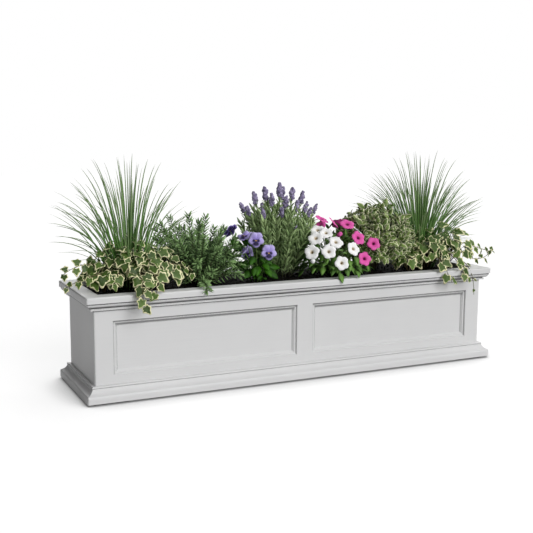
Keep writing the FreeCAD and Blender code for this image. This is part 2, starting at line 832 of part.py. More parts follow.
os.makedirs("parts", exist_ok=True)
for name, shape in nodes.items():
    shape.exportStep("parts/" + name + ".step")
    print(name, len(shape.Solids), "solids", round(shape.Volume / 1000.0, 1), "cm3", shape.isValid())
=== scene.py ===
import bpy
import math
import numpy as np
from collections import namedtuple
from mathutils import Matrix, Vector, noise


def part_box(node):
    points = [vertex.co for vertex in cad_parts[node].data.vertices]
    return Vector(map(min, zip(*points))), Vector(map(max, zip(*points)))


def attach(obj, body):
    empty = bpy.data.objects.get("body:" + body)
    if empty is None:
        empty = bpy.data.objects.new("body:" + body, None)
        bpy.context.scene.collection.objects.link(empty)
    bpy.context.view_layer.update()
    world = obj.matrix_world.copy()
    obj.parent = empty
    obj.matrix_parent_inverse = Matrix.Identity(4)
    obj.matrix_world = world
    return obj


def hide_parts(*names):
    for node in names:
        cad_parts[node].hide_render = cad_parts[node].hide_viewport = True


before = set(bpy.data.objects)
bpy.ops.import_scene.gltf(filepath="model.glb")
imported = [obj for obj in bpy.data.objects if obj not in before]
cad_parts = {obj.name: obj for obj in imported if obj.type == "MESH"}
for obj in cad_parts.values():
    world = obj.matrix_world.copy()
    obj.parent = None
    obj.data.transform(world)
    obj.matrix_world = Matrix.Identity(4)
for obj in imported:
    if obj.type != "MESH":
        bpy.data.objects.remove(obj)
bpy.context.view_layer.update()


# Outer shell: one hollow polyethylene moulding with its crown, panels and base, white with a satin skin.
# The skin keeps the faint long drag marks of the tool, a slight unevenness of tone and painted shade in its
# creases.

def tone(*swatch):
    """Linear colour of a swatch given as three values up to 255."""
    shares = [value / 255 for value in swatch]
    return (*(s / 12.92 if s <= 0.04045 else ((s + 0.055) / 1.055) ** 2.4 for s in shares), 1.0)


def feed(tree, socket, given):
    """A socket takes a link from another socket, or a plain value."""
    if isinstance(given, bpy.types.NodeSocket):
        tree.links.new(given, socket)
    else:
        socket.default_value = given


def add_node(tree, kind, sockets=None, **settings):
    """Outputs of a new node with its settings, and its sockets fed by name or number."""
    made = tree.nodes.new("ShaderNode" + kind)
    for name, value in settings.items():
        setattr(made, name, value)
    for name, given in (sockets or {}).items():
        feed(tree, made.inputs[name], given)
    return made.outputs


def calculate(tree, operation, *values):
    """Result of one operation on values, each a socket or a number."""
    return add_node(tree, "Math", dict(enumerate(values)), operation=operation, use_clamp=True)[0]


def mix_colours(tree, share, first, second, blend="MIX"):
    """Colour mixed from two by a share. Each is a socket or a plain value."""
    return add_node(tree, "Mix", {0: share, 6: first, 7: second}, data_type="RGBA", blend_type=blend)[2]


def ranged(tree, value, before, after, **settings):
    """Value carried from one range to another and held inside it."""
    sockets = {"From Min": before[0], "From Max": before[1], "To Min": after[0], "To Max": after[1]}
    return add_node(tree, "MapRange", {"Value": value, **sockets}, **settings)["Result"]


def start_group(name, inputs, outputs):
    """Empty shader group with named sockets: those that bring its values in, and those that take them out."""
    group = bpy.data.node_groups.new(name, "ShaderNodeTree")
    for label, value in inputs.items():
        kind = "NodeSocketColor" if isinstance(value, tuple) else "NodeSocketFloat"
        group.interface.new_socket(label, in_out="INPUT", socket_type=kind).default_value = value
    for label, kind in outputs.items():
        group.interface.new_socket(label, in_out="OUTPUT", socket_type="NodeSocket" + kind)
    return group, group.nodes.new("NodeGroupInput").outputs, group.nodes.new("NodeGroupOutput").inputs


def mottle_group():
    """Soft cloudy patches in the piece's own space, from 0 to 1."""
    group, enter, leave = start_group("mottle", {"Scale": 20.0, "Contrast": 1.0}, {"Mask": "Float"})
    sockets = {"Vector": add_node(group, "TexCoord")["Object"], "Scale": enter["Scale"]}
    cloud = add_node(group, "TexNoise", {**sockets, "Detail": 4.0, "Roughness": 0.55})["Fac"]
    centred = add_node(group, "Math", {0: cloud, 1: 0.5}, operation="SUBTRACT")[0]
    feed(group, leave["Mask"], calculate(group, "MULTIPLY_ADD", centred, enter["Contrast"], 0.5))
    return group


def drag_group():
    """Fine marks drawn out along the length of a moulding, from 0 to 1."""
    group, enter, leave = start_group("drag_marks", {"Fineness": 400.0}, {"Mask": "Float"})
    sockets = {"Vector": add_node(group, "TexCoord")["Object"], "Scale": (0.015, 0.5, 1.0)}
    sockets = {"Vector": add_node(group, "Mapping", sockets)["Vector"], "Scale": enter["Fineness"]}
    marks = add_node(group, "TexNoise", {**sockets, "Detail": 3.0, "Roughness": 0.6})["Fac"]
    feed(group, leave["Mask"], marks)
    return group


def crease_shade_group():
    """Share of painted shade: 1 in a crease under a ledge, less on slopes that face down or flank a hollow."""
    group, enter, leave = start_group("crease_shade", {"Reach": 0.008}, {"Mask": "Float"})
    normal = add_node(group, "NewGeometry")["Normal"]
    raised = add_node(group, "VectorMath", {0: normal, 1: (0.0, 0.0, 0.72)}, operation="ADD")[0]
    skyward = add_node(group, "VectorMath", {0: raised}, operation="NORMALIZE")[0]
    sockets = {"Normal": skyward, "Distance": enter["Reach"]}
    opening = add_node(group, "AmbientOcclusion", sockets, samples=8, only_local=True)["AO"]
    parts = add_node(group, "SeparateXYZ", {"Vector": normal})
    # Painted shade where a point is closed in from above
    closed = ranged(group, opening, (0.5, 0.78), (1.0, 0.0))
    not_facing_up = ranged(group, parts["Z"], (0.1, 0.35), (1.0, 0.0))
    # Painted shade on faces that look down
    hanging = ranged(group, parts["Z"], (-0.5, -0.62), (0.0, 0.58))
    hollow = ranged(group, opening, (0.9, 0.99), (0.45, 0.0))
    # Painted shade on faces that flank a hollow sideways
    flank = calculate(group, "COMPARE", calculate(group, "ABSOLUTE", parts["X"]), 0.7, 0.17)
    mask = calculate(group, "MAXIMUM", calculate(group, "MULTIPLY", closed, not_facing_up), hanging)
    mask = calculate(group, "MAXIMUM", mask, calculate(group, "MULTIPLY", flank, hollow))
    feed(group, leave["Mask"], mask)
    return group


mottle = mottle_group()
drag_marks = drag_group()
crease_shade = crease_shade_group()


def cloudy(tree, scale, contrast):
    """Mask of soft patches."""
    return add_node(tree, "Group", {"Scale": scale, "Contrast": contrast}, node_tree=mottle)["Mask"]


def start_material(name):
    """New material with one shader, and its tree."""
    material = bpy.data.materials.new(name)
    material.use_nodes = True
    return material, material.node_tree


def finish_material(material, colour, roughness, bump=None, specular=0.5, metallic=0.0):
    """The shader's own sockets, fed or set. A bump is given as its mask, its depth and its strength."""
    tree = material.node_tree
    sockets = {
        "Base Color": colour, "Roughness": roughness, "Specular IOR Level": specular, "Metallic": metallic,
    }
    if bump:
        relief = dict(zip(("Height", "Distance", "Strength"), bump))
        sockets["Normal"] = add_node(tree, "Bump", relief)["Normal"]
    for name, given in sockets.items():
        feed(tree, tree.nodes["Principled BSDF"].inputs[name], given)
    return material


def dress(node, material):
    """The CAD node keeps its shape and takes a finish."""
    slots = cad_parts[node].data.materials
    slots.clear()
    slots.append(material)


crease_reach = 0.0062


def moulded_plastic(name, light, dark, crease_shade_colour, roughness, fineness):
    """Moulded plastic with a satin skin, drag marks, a slight unevenness and painted shade in its creases."""
    material, tree = start_material(name)
    clouds = cloudy(tree, 7.0, 1.6)
    marks = add_node(tree, "Group", {"Fineness": fineness}, node_tree=drag_marks)["Mask"]
    # Painted shade in the creases and under the ledges
    painted_crease_shade = add_node(tree, "Group", {"Reach": crease_reach}, node_tree=crease_shade)["Mask"]
    skin = mix_colours(tree, calculate(tree, "MULTIPLY", clouds, marks), light, dark)
    uneven = ranged(tree, clouds, (0.0, 1.0), (roughness - 0.05, roughness + 0.06))
    crease_shaded_skin = mix_colours(tree, painted_crease_shade, skin, crease_shade_colour)
    return finish_material(material, crease_shaded_skin, uneven, (marks, 0.0003, 0.08), specular=0.35)


# The crease shade colour is painted shade in the shell's creases and under its ledges
white_shell = moulded_plastic(
    "white_satin_moulding", light=tone(223, 223, 223), dark=tone(213, 213, 214), crease_shade_colour=tone(26, 26, 28),
    roughness=0.42, fineness=420.0,
)
dress("outer_shell", white_shell)


# Feet, outlet grommets and stoppers: soft black rubber. The feet are pushed up into the floor by their
# pegs, a grommet is pressed into its hole in the back wall, and a stopper pulls out of each grommet.

def rubber(name, colour, dusty):
    """Dull rubber with a fine grain and a bloom of dust in patches."""
    material, tree = start_material(name)
    skin = mix_colours(tree, cloudy(tree, 60.0, 2.2), colour, dusty)
    return finish_material(material, skin, 0.72, (cloudy(tree, 1400.0, 1.4), 0.0002, 0.35))


foot_rubber = rubber("foot_rubber", tone(52, 52, 54), tone(82, 81, 80))
plug_rubber = rubber("plug_rubber", tone(36, 36, 38), tone(60, 60, 61))
for corner in ("front_left", "front_right", "rear_left", "rear_right"):
    dress("foot_" + corner, foot_rubber)
for side in ("left", "right"):
    dress("outlet_grommet_" + side, plug_rubber)
    dress("outlet_stopper_" + side, plug_rubber)


# Wall inserts: four turned brass bushes moulded into bosses of the back wall, flush with its face.
# The metal is slightly browned in patches, and duller there.

turned_brass, tree = start_material("turned_brass")
stain = cloudy(tree, 160.0, 2.4)
brass_skin = mix_colours(tree, stain, tone(214, 176, 98), tone(150, 112, 56))
finish_material(turned_brass, brass_skin, ranged(tree, stain, (0.0, 1.0), (0.24, 0.5)), metallic=1.0)
dress("wall_inserts", turned_brass)


# Planting liner: a tapered tub of dark recycled plastic that hangs in the opening and stands on wick wells.
# It is vacuum formed, so its skin is duller than the shell's.

# The liner's creases take painted shade, as the shell's do
dark_liner = moulded_plastic(
    "dark_liner_plastic", light=tone(46, 47, 48), dark=tone(34, 34, 36), crease_shade_colour=tone(24, 23, 22),
    roughness=0.55, fineness=260.0,
)
dress("planting_liner", dark_liner)


# Soil bed: loose dark potting mix, a little higher in the middle, with crumbs, bark chips and root bits.
# It fills the liner, lies over its lip and ends below the rim.

soil_high = np.array(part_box("soil_bed")[1])
shell_high = np.array(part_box("outer_shell")[1])
rim_inset = 0.0015
rim_margin = 0.0005
rim_half = shell_high[:2] - rim_inset
rim_top = shell_high[2] + rim_margin
soil_gap = 0.001
soil_half = soil_high[:2] - soil_gap
soil_top = soil_high[2]
soil_sink = 0.002
soil_edge_drop = 0.004
soil_slope = 0.022
# Height, fineness and layer of the lumps at two scales
soil_lumps = ((0.0030, 38, 0.3), (0.0016, 140, 2.7))
soil_layer = 0.0115
soil_depth = 0.196
liner_inset = 0.016
liner_foot_inset = 1.4 * liner_inset
soil_step = 0.0045
crumb_count = 2600
crumb_widths = (0.003, 0.0085)

# Closed form: its points, its faces, and two measures kept at each point, along its length and across it
Form = namedtuple("Form", "points faces along edge")


def in_rim(points):
    """True where a form would cut into the rim round the soil."""
    level = np.abs(points[:, :2])
    within = np.all(level < rim_half, axis=1) & (points[:, 2] < rim_top)
    return bool(np.any(within & np.any(level > soil_high[:2], axis=1)))


class Growth:
    """Many small forms gathered into one mesh, with a tint and two measures kept at each point."""

    def __init__(self, *avoid):
        self.avoid = avoid
        self.points, self.faces, self.marks = [], [], []
        self.count = 0

    def add(self, form, tint, turn=np.eye(3), place=np.zeros(3), size=1.0):
        """One more form, turned and placed, or False where it would cut what it has to avoid."""
        points = (form.points * size) @ turn.T + place
        if any(test(points) for test in self.avoid):
            return False
        self.points.append(points)
        self.faces += [[index + self.count for index in face] for face in form.faces]
        self.marks.append(np.column_stack([np.full(len(points), tint), form.along, form.edge]))
        self.count += len(points)
        return True

    def piece(self, name, material, slot, body="planting"):
        """The gathered mesh as a smooth piece that rides on a body."""
        mesh = bpy.data.meshes.new(name)
        mesh.from_pydata(np.concatenate(self.points).tolist(), [], self.faces)
        mesh.polygons.foreach_set("use_smooth", [True] * len(mesh.polygons))
        for mark, values in zip(("tint", "along", "edge"), np.concatenate(self.marks).T):
            attribute = mesh.attributes.new(mark, "FLOAT", "POINT")
            attribute.data.foreach_set("value", values.astype(np.float32))
        mesh.materials.append(material)
        mesh.update()
        made = bpy.data.objects.new(name, mesh)
        bpy.context.scene.collection.objects.link(made)
        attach(made, body)
        return made


def stand_for(node, slot, *parts):
    """Pieces in place of a CAD node, each given as its name, its growth and its material."""
    made = [growth.piece(name, material, slot) for name, growth, material in parts]
    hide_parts(node)


def band(near, far):
    """Faces between two closed rings given by their points' numbers."""
    return [[near[i - 1], near[i], far[i], far[i - 1]] for i in range(len(near))]


def soil_height(x, y):
    """Level of the soil: flat in the middle, falling to the edge, with lumps at two scales."""
    to_edge = min(soil_half[0] - abs(x), soil_half[1] - abs(y))
    level = soil_top - soil_sink - soil_edge_drop * max(0.0, 1 - to_edge / soil_slope)
    for height, fineness, layer in soil_lumps:
        level += height * noise.noise(Vector((x * fineness, y * fineness, layer)))
    return level


def soil_form():
    """Lumpy top and plain sides down into the liner."""
    columns, rows = (int(2 * half / soil_step) for half in soil_half)
    points = []
    for row, column in np.ndindex(rows + 1, columns + 1):
        x, y = soil_half * (2 * column / columns - 1, 2 * row / rows - 1)
        points.append((x, y, soil_height(x, y)))
    grid = np.arange(len(points)).reshape(rows + 1, columns + 1)
    corners = (grid[:-1, :-1], grid[:-1, 1:], grid[1:, 1:], grid[1:, :-1])
    faces = np.stack(corners, axis=2).reshape(-1, 4).tolist()
    rim = np.concatenate([grid[0, :-1], grid[:-1, -1], grid[-1, :0:-1], grid[:0:-1, 0]]).tolist()
    upper = rim
    for depth, inset in ((soil_layer, 0.0), (soil_layer, liner_inset), (soil_depth, liner_foot_inset)):
        shrink = (soil_half - inset) / soil_half
        lower = list(range(len(points), len(points) + len(rim)))
        points += [(points[i][0] * shrink[0], points[i][1] * shrink[1], soil_top - depth) for i in rim]
        faces += band(lower, upper)
        upper = lower
    faces.append(upper[::-1])
    measures = np.zeros(len(points))
    return Form(np.array(points), faces, measures, measures)


def crumb_form(rng):
    """Rough closed lump about one unit across."""
    corners = [(1, 0, 0), (-1, 0, 0), (0, 1, 0), (0, -1, 0), (0, 0, 1), (0, 0, -1)]
    corners += [(x, y, z) for x in (-0.6, 0.6) for y in (-0.6, 0.6) for z in (-0.6, 0.6)]
    points = np.array(corners) * rng.uniform(0.32, 0.56, (len(corners), 1))
    faces = []
    for number, (x, y, z) in enumerate(np.ndindex(2, 2, 2)):
        ends = [1 - x, 3 - y, 5 - z]
        for first in range(3):
            face = [6 + number, ends[first], ends[first - 2]]
            faces.append(face if (x + y + z) % 2 else face[::-1])
    return Form(points, faces, np.zeros(len(points)), np.ones(len(points)))


def any_turn(rng):
    """Random turn in space."""
    turn, _ = np.linalg.qr(rng.normal(size=(3, 3)))
    turn[:, 0] *= np.sign(np.linalg.det(turn))
    return turn


def reading(tree, mark):
    """Value of a mark that is kept at each point of a mesh."""
    return add_node(tree, "Attribute", attribute_name=mark)["Fac"]


potting_mix, tree = start_material("potting_mix")
clods = cloudy(tree, 260.0, 2.6)
dark = mix_colours(tree, clods, tone(2, 2, 1), tone(14, 10, 8))
bark = mix_colours(tree, cloudy(tree, 22.0, 2.0), tone(20, 15, 12), tone(66, 50, 38))
soil_colour = mix_colours(tree, reading(tree, "tint"), dark, bark)
finish_material(potting_mix, soil_colour, 0.88, (clods, 0.002, 0.6), specular=0.15)

rng = np.random.default_rng(11)
soil = Growth()
soil.add(soil_form(), 0.0)
crumbs = [crumb_form(rng) for _ in range(6)]
for index in range(crumb_count):
    x = rng.uniform(-0.985, 0.985) * soil_half[0]
    y = rng.uniform(-0.95, 0.95) * soil_half[1]
    width = rng.uniform(*crumb_widths) * rng.uniform(0.5, 1.0)
    stretch = np.diag([1.0, rng.uniform(0.5, 1.0), rng.uniform(0.4, 0.8)])
    tint = rng.uniform(0.0, 0.35) if index % 9 else rng.uniform(0.5, 1.0)
    place = np.array([x, y, soil_height(x, y)])
    soil.add(crumbs[index % len(crumbs)], tint, any_turn(rng) @ stretch, place, width)
stand_for("soil_bed", "soil", ("soil_surface", soil, potting_mix))


# Grass clumps: two tufts of fine arching blades, rooted one near each end. Each blade is keeled, strong green
# at its foot and bleached towards a hair-thin tip. The outer blades lean out and droop.

BladeRing = namedtuple("BladeRing", "blades radius reach height")
blade_rings = [
    BladeRing(4, 0.006, 0.022, 0.350), BladeRing(8, 0.017, 0.066, 0.330),
    BladeRing(12, 0.029, 0.118, 0.292), BladeRing(16, 0.041, 0.160, 0.225),
]
# How far the longest blades reach to the left and the right along the fan
fan_reach = {"grass_left": (0.21, 0.155), "grass_right": (0.17, 0.196)}
fan_turn = math.radians(24)
fan_side = np.array([math.cos(fan_turn), -math.sin(fan_turn), 0.0])
fan_depth = np.array([-fan_side[1], fan_side[0], 0.0])
fan_jitter = 0.012
fan_thickness = 0.05
fan_foot = 0.015
long_blades = 20
longest_blade = 0.362
fine_blades = {"grass_left": 66, "grass_right": 150}
tallest_blade = 0.335
shortest_blade = 0.17
widest_lean = math.radians(58)
depth_share = 0.82
blade_width = 0.0052
tuft_radius = 0.044
root_depth = 0.004
golden_turn = math.pi * (3 - math.sqrt(5))
upward = np.array([0.0, 0.0, 1.0])


def unit(vector):
    """Vector of length one in the same direction."""
    return np.asarray(vector, float) / np.linalg.norm(vector)


def uneven(index):
    """Share from 0 to 1 that jumps about from one index to the next."""
    return index * 0.618 % 1


def arch(start, bend, end, count):
    """Points along a curve from start to end that is drawn towards bend."""
    shares = np.linspace(0, 1, count)[:, None]
    return start * (1 - shares) ** 2 + 2 * bend * shares * (1 - shares) + end * shares ** 2


def compass(turn):
    """Level direction at a turn from the front of the box, to the right when it grows."""
    return np.array([math.sin(turn), -math.cos(turn), 0.0])


def tube(rings, along, tip=None):
    """Closed form round a run of rings, capped or drawn to a tip. Its measure along is given by ring."""
    sides = len(rings[0])
    points = np.array(rings, float).reshape(-1, 3)
    along = np.repeat(along, sides)
    order = np.arange(len(points)).reshape(-1, sides).tolist()
    faces = [order[0][::-1]]
    for near, far in zip(order, order[1:]):
        faces += band(near, far)
    if tip is None:
        faces.append(order[-1])
    else:
        faces += [[order[-1][side - 1], order[-1][side], len(points)] for side in range(sides)]
        points = np.vstack([points, tip])
        along = np.append(along, 1.0)
    return Form(points, faces, along, np.ones(len(points)))


def add_blade(tuft, rng, path, out, widths, oldest):
    """One more keeled blade along a path that leans out, three-sided and closed, tapering to a point."""
    across = unit(np.cross(out, upward))
    width = blade_width * rng.uniform(*widths)
    shares = np.arange(len(path) - 1) / (len(path) - 1)
    rings = []
    for spot, ahead, half in zip(path, path[1:], width / 2 * (1 - 0.94 * shares ** 4.5)):
        keel = unit(np.cross(ahead - spot, across)) * half * 1.2
        rings.append([spot + across * half, spot + keel, spot - across * half])
    tuft.add(tube(rings, shares, path[-1]), rng.uniform(0, oldest) ** 1.5)


def along_colour(tree, *stops):
    """Colour that runs through stops from the foot to the tip of a leaf."""
    colour = add_node(tree, "ValToRGB", {"Fac": reading(tree, "along")})["Color"]
    elements = colour.node.color_ramp.elements
    while len(elements) < len(stops):
        elements.new(0.5)
    for element, (place, stop) in zip(elements, stops):
        element.position = place
        element.color = stop
    return colour


grass_green, tree = start_material("grass_green")
run = along_colour(
    tree, (0.0, tone(54, 106, 30)), (0.4, tone(98, 146, 66)), (0.75, tone(132, 160, 106)),
    (1.0, tone(148, 164, 128)),
)
old = mix_colours(tree, 0.55, run, tone(170, 186, 146))
blade_colour = mix_colours(tree, reading(tree, "tint"), run, old)
finish_material(grass_green, blade_colour, 0.5, (cloudy(tree, 700.0, 1.5), 0.0003, 0.3), specular=0.25)

for clump, seed in (("grass_left", 21), ("grass_right", 34)):
    rng = np.random.default_rng(seed)
    low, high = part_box(clump)
    foot = np.array([(low[0] + high[0]) / 2, (low[1] + high[1]) / 2, soil_top - root_depth])
    tuft = Growth()
    for ring in blade_rings:
        for index in range(ring.blades):
            out = compass(math.pi / 2 + 2 * math.pi * index / ring.blades + rng.uniform(-0.14, 0.14))
            length = rng.uniform(0.86, 1.0)
            start = foot + out * ring.radius
            bend = start + (out * 0.22 * ring.reach + upward * 0.7 * ring.height) * length
            end = start + (out * ring.reach + upward * ring.height) * length
            add_blade(tuft, rng, arch(start, bend, end, 12), out, (0.4, 0.9), 0.8)
    left_reach, right_reach = fan_reach[clump]
    for index in range(long_blades):
        share = (index + 0.5) / long_blades
        side = right_reach * share - left_reach * (1 - share) + rng.uniform(-fan_jitter, fan_jitter)
        spread = side / (right_reach if side > 0 else left_reach)
        height = longest_blade * (1 - 0.46 * abs(spread) ** 3) * rng.uniform(0.90, 1.0)
        out = fan_side * side + fan_depth * rng.uniform(-fan_thickness, fan_thickness)
        start = foot + 0.22 * out + fan_depth * rng.uniform(-fan_foot, fan_foot)
        bend = start + 0.22 * out + upward * 0.80 * height
        add_blade(tuft, rng, arch(start, bend, foot + out + upward * height, 14), out, (0.5, 1.0), 0.6)
    for index in range(fine_blades[clump]):
        share = (index + 0.5) / fine_blades[clump]
        out = compass(golden_turn * index + rng.uniform(-0.6, 0.6))
        lean = widest_lean * share ** 0.55
        length = tallest_blade - (tallest_blade - shortest_blade) * share ** 3
        length = length * (1 - 0.24 * uneven(index))
        reach = out * np.array([1.0, depth_share, 0.0])
        start = foot + reach * tuft_radius * math.sqrt(share)
        bend = start + 0.66 * length * (reach * math.sin(0.3 * lean) + upward * math.cos(0.3 * lean))
        end = start + length * (reach * math.sin(lean) + upward * math.cos(lean))
        add_blade(tuft, rng, arch(start, bend, end, 12), out, (0.4, 0.9), 0.8)
    stand_for(clump, "grass", (clump + "_blades", tuft, grass_green))


# Rosemary: a bush of woody sprigs from one crown in the soil, set closely with short needles that are painted
# dark inside the bush as shade and are paler outside. Most sprigs stand up, lower ones lean out, and one
# hangs over the rim.

rosemary_spot = np.array([-0.262, 0.005, soil_top])
# Spread of the mound, height of its widest part and height of its top
rosemary_mound = (0.120, 0.112, 0.160)
rosemary_core = (0.78 * rosemary_mound[0], 0.062, 0.112)
rosemary_stem = (0.0017, 0.0007)
sprig_count = 22
low_sprig_count = 12
low_sprig_reach = 0.108
low_sprig_height = 0.036
tip_drop = 0.020
tall_tip_depth = 0.03
sprig_bow = 0.03
inner_sprig_count = 46
needle_length = 0.0205
needle_width = 0.0047
needle_spacing = 0.0100
# Tips of the tallest sprigs: along the box from the middle of the bush, and above the soil
tall_tips = [
    (-0.114, 0.148), (-0.100, 0.160), (-0.078, 0.177), (-0.029, 0.183),
    (-0.004, 0.166), (0.022, 0.176), (0.048, 0.145), (0.067, 0.144),
]
# Tips of the leaning sprigs: turn from the front, reach from the middle, and height above the soil
leaning_tips = [
    (-0.223, 0.167, 0.003), (0.62, 0.138, 0.026), (0.98, 0.142, 0.048), (1.4, 0.125, 0.046),
    (0.9, 0.118, 0.076), (1.25, 0.124, 0.094), (0.5, 0.116, 0.060), (1.2, 0.136, 0.030),
    (1.6, 0.132, 0.034), (1.8, 0.128, 0.056), (1.5, 0.118, 0.078), (2.1, 0.122, 0.040),
    (-1.2, 0.122, 0.040), (-1.55, 0.116, 0.066), (-1.9, 0.118, 0.088), (-0.9, 0.124, 0.030),
]


def facing(axis, up):
    """Turn that lays a leaf's length along axis, with its upper side towards up."""
    along = unit(axis)
    across = unit(np.cross(along, up))
    return np.column_stack([across, along, np.cross(across, along)])


def leaf_forms(length, width, profile, bends, cup, thickness, stations):
    """Closed leaves with a midrib, one for each bend down along the length, with their margins cupped up."""
    forms = []
    shares = np.arange(stations + 1) / stations
    for bend in bends:
        reach = length * shares * np.sinc(bend * shares / math.pi)
        sag = -length * shares * np.sin(bend * shares / 2) * np.sinc(bend * shares / (2 * math.pi))
        rings = []
        for share, y, z in zip(shares[:-1], reach, sag):
            half = width / 2 * profile(share)
            rim = z + cup * half
            rings.append([(-half, y, rim), (0, y, z), (half, y, rim), (0, y, z - thickness)])
        form = tube(rings, shares[:-1], (0.0, reach[-1], sag[-1]))
        forms.append(form._replace(edge=np.array([0.0, 1.0, 0.0, 1.0] * stations + [0.0])))
    return forms


def needle_profile(share):
    """Half width of a needle along its length."""
    return 0.75 + 0.25 * math.sin(math.pi * share)


def stem_form(path, radii, sides=5):
    """Stem along a path, closed at both ends, whose radius runs through the given radii."""
    last = len(path) - 1
    shares = np.arange(last + 1) / last
    angles = 2 * math.pi * np.arange(sides)[:, None] / sides
    side_axis = np.cross(path[1] - path[0], [0.31, 0.87, 0.38])
    rings = []
    for index, radius in enumerate(np.interp(shares, np.linspace(0, 1, len(radii)), radii)):
        step = unit(path[min(index + 1, last)] - path[max(index - 1, 0)])
        side_axis = unit(side_axis - step * np.dot(side_axis, step))
        other = np.cross(step, side_axis)
        rings.append(path[index] + radius * (side_axis * np.cos(angles) + other * np.sin(angles)))
    return tube(rings, shares)


def leaf_tone_group():
    """Leaf colour between two greens, by the leaf's own tint and soft patches, with painted shade towards its
    foot.
    """
    inputs = {"Dark": (0.0, 0.1, 0.0, 1.0), "Light": (0.1, 0.3, 0.1, 1.0), "Foot": 0.5}
    group, enter, leave = start_group("leaf_tone", inputs, {"Color": "Color", "Mask": "Float"})
    patches = cloudy(group, 120.0, 1.8)
    patchy = calculate(group, "MULTIPLY", patches, 0.5)
    share = calculate(group, "MULTIPLY_ADD", reading(group, "tint"), 0.75, patchy)
    colour = mix_colours(group, share, enter["Dark"], enter["Light"])
    # Painted shade: the colour falls to the Foot share towards the leaf's foot
    foot = ranged(group, reading(group, "along"), (0.0, 0.5), (enter["Foot"], 1.0))
    feed(group, leave["Color"], mix_colours(group, 1.0, colour, foot, "MULTIPLY"))
    feed(group, leave["Mask"], patches)
    return group


leaf_tone = leaf_tone_group()
# Depth and strength of the unevenness of a leaf's skin
leaf_relief = (0.0008, 0.35)


def plain_leaf(name, dark, light, foot, roughness):
    """Leaf of one colour, uneven from leaf to leaf, with painted shade towards its foot."""
    material, tree = start_material(name)
    greens = add_node(tree, "Group", {"Dark": dark, "Light": light, "Foot": foot}, node_tree=leaf_tone)
    bump = (greens["Mask"], *leaf_relief)
    return finish_material(material, greens["Color"], roughness, bump, specular=0.25)


def woody_stem(name, young, old):
    """Stem that is woody at its foot and green at its tip."""
    material, tree = start_material(name)
    run = along_colour(tree, (0.0, old), (0.8, young))
    bark = cloudy(tree, 500.0, 2.0)
    darker = mix_colours(tree, 0.45, run, tone(30, 26, 20))
    return finish_material(material, mix_colours(tree, bark, run, darker), 0.7, (bark, 0.0006, 0.5))


def dome(count, widest):
    """Index, turn and tilt of points spread over a dome, from its top down to the widest tilt in degrees."""
    for index in range(count):
        yield index, golden_turn * index, math.radians(widest) * math.sqrt((index + 0.5) / count)


def mound_spot(spot, mound, turn, tilt):
    """Point on a rounded mound, at a turn from the front and a tilt from upright."""
    spread, wide, top = mound
    return spot + compass(turn) * spread * math.sin(tilt) + upward * (wide + (top - wide) * math.cos(tilt))


def partway(start, end, aside, rise):
    """Point at one share of the level way from start to end, and at another of the rise."""
    return start + (end - start) * np.array([aside, aside, rise])


def along_path(path, share):
    """Point and direction at a share of a path."""
    place = share * (len(path) - 1)
    index = min(int(place), len(path) - 2)
    step = path[index + 1] - path[index]
    return path[index] + step * (place - index), unit(step)


def square_to(axis, turn):
    """Direction square to an axis, at a turn round it."""
    first = unit(np.cross(axis, [0.91, 0.37, 0.18]))
    return first * math.cos(turn) + np.cross(axis, first) * math.sin(turn)


def leafy_sprig(leaves, forms, rng, path, bare, spacing, per_node, opening, sizes, tints=(0.0, 1.0)):
    """Leaves set round a stem, node by node, smaller and closer in towards its tip."""
    nodes = int(np.linalg.norm(np.diff(path, axis=0), axis=1).sum() * (1 - bare) / spacing)
    for node in range(nodes):
        share = bare + (1 - bare) * (node + 0.5) / nodes
        spot, axis = along_path(path, share)
        turn = node * math.pi / 2 + rng.uniform(-0.3, 0.3)
        near_tip = max(0.0, (share - 0.8) / 0.2)
        for index in range(per_node):
            out = square_to(axis, turn + 2 * math.pi * index / per_node)
            wide = opening * (1 - 0.32 * near_tip) * rng.uniform(0.85, 1.15)
            leaf_axis = axis * math.cos(wide) + out * math.sin(wide)
            upper = axis * math.sin(wide) - out * math.cos(wide)
            size = rng.uniform(*sizes) * (1 - 0.12 * near_tip)
            form = forms[rng.integers(len(forms))]
            leaves.add(form, rng.uniform(*tints), facing(leaf_axis, upper), spot, size)


rng = np.random.default_rng(5)
needles = Growth(in_rim)
stems = Growth()
needle_forms = leaf_forms(
    needle_length, needle_width, needle_profile, bends=(-0.4, 0.0, 0.3), cup=-0.3, thickness=0.0008,
    stations=3,
)
sprig_tips = []
for index, turn, tilt in dome(sprig_count, 84):
    tip = mound_spot(rosemary_spot, rosemary_mound, turn, tilt)
    sprig_tips.append(tip - upward * tip_drop * uneven(index))
for side, top in tall_tips:
    sprig_tips.append(rosemary_spot + np.array([side, rng.uniform(-tall_tip_depth, tall_tip_depth), top]))
for index in range(low_sprig_count):
    turn = 2 * math.pi * (index + 0.3 * (index % 2)) / low_sprig_count
    height = low_sprig_height * (1 + uneven(index))
    sprig_tips.append(rosemary_spot + compass(turn) * low_sprig_reach + upward * height)
for turn, reach, height in leaning_tips:
    sprig_tips.append(rosemary_spot + compass(turn) * reach + upward * height)
outer_count = len(sprig_tips)
for _, turn, tilt in dome(inner_sprig_count, 80):
    sprig_tips.append(mound_spot(rosemary_spot, rosemary_core, turn, tilt))
for index, tip in enumerate(sprig_tips):
    start = partway(rosemary_spot, tip, 0.22, 0.0) - upward * root_depth
    path = arch(start, partway(rosemary_spot, tip, 0.8, 0.62) + upward * sprig_bow, tip, 12)
    stems.add(stem_form(path, rosemary_stem), rng.uniform(0, 1))
    # Needles of the inner sprigs take the dark end of their greens: painted shade inside the bush
    tints = (0.3, 1.0) if index < outer_count else (0.0, 0.15)
    leafy_sprig(
        needles, needle_forms, rng, path, bare=0.06, spacing=needle_spacing, per_node=4, opening=1.02,
        sizes=(0.8, 1.15), tints=tints,
    )
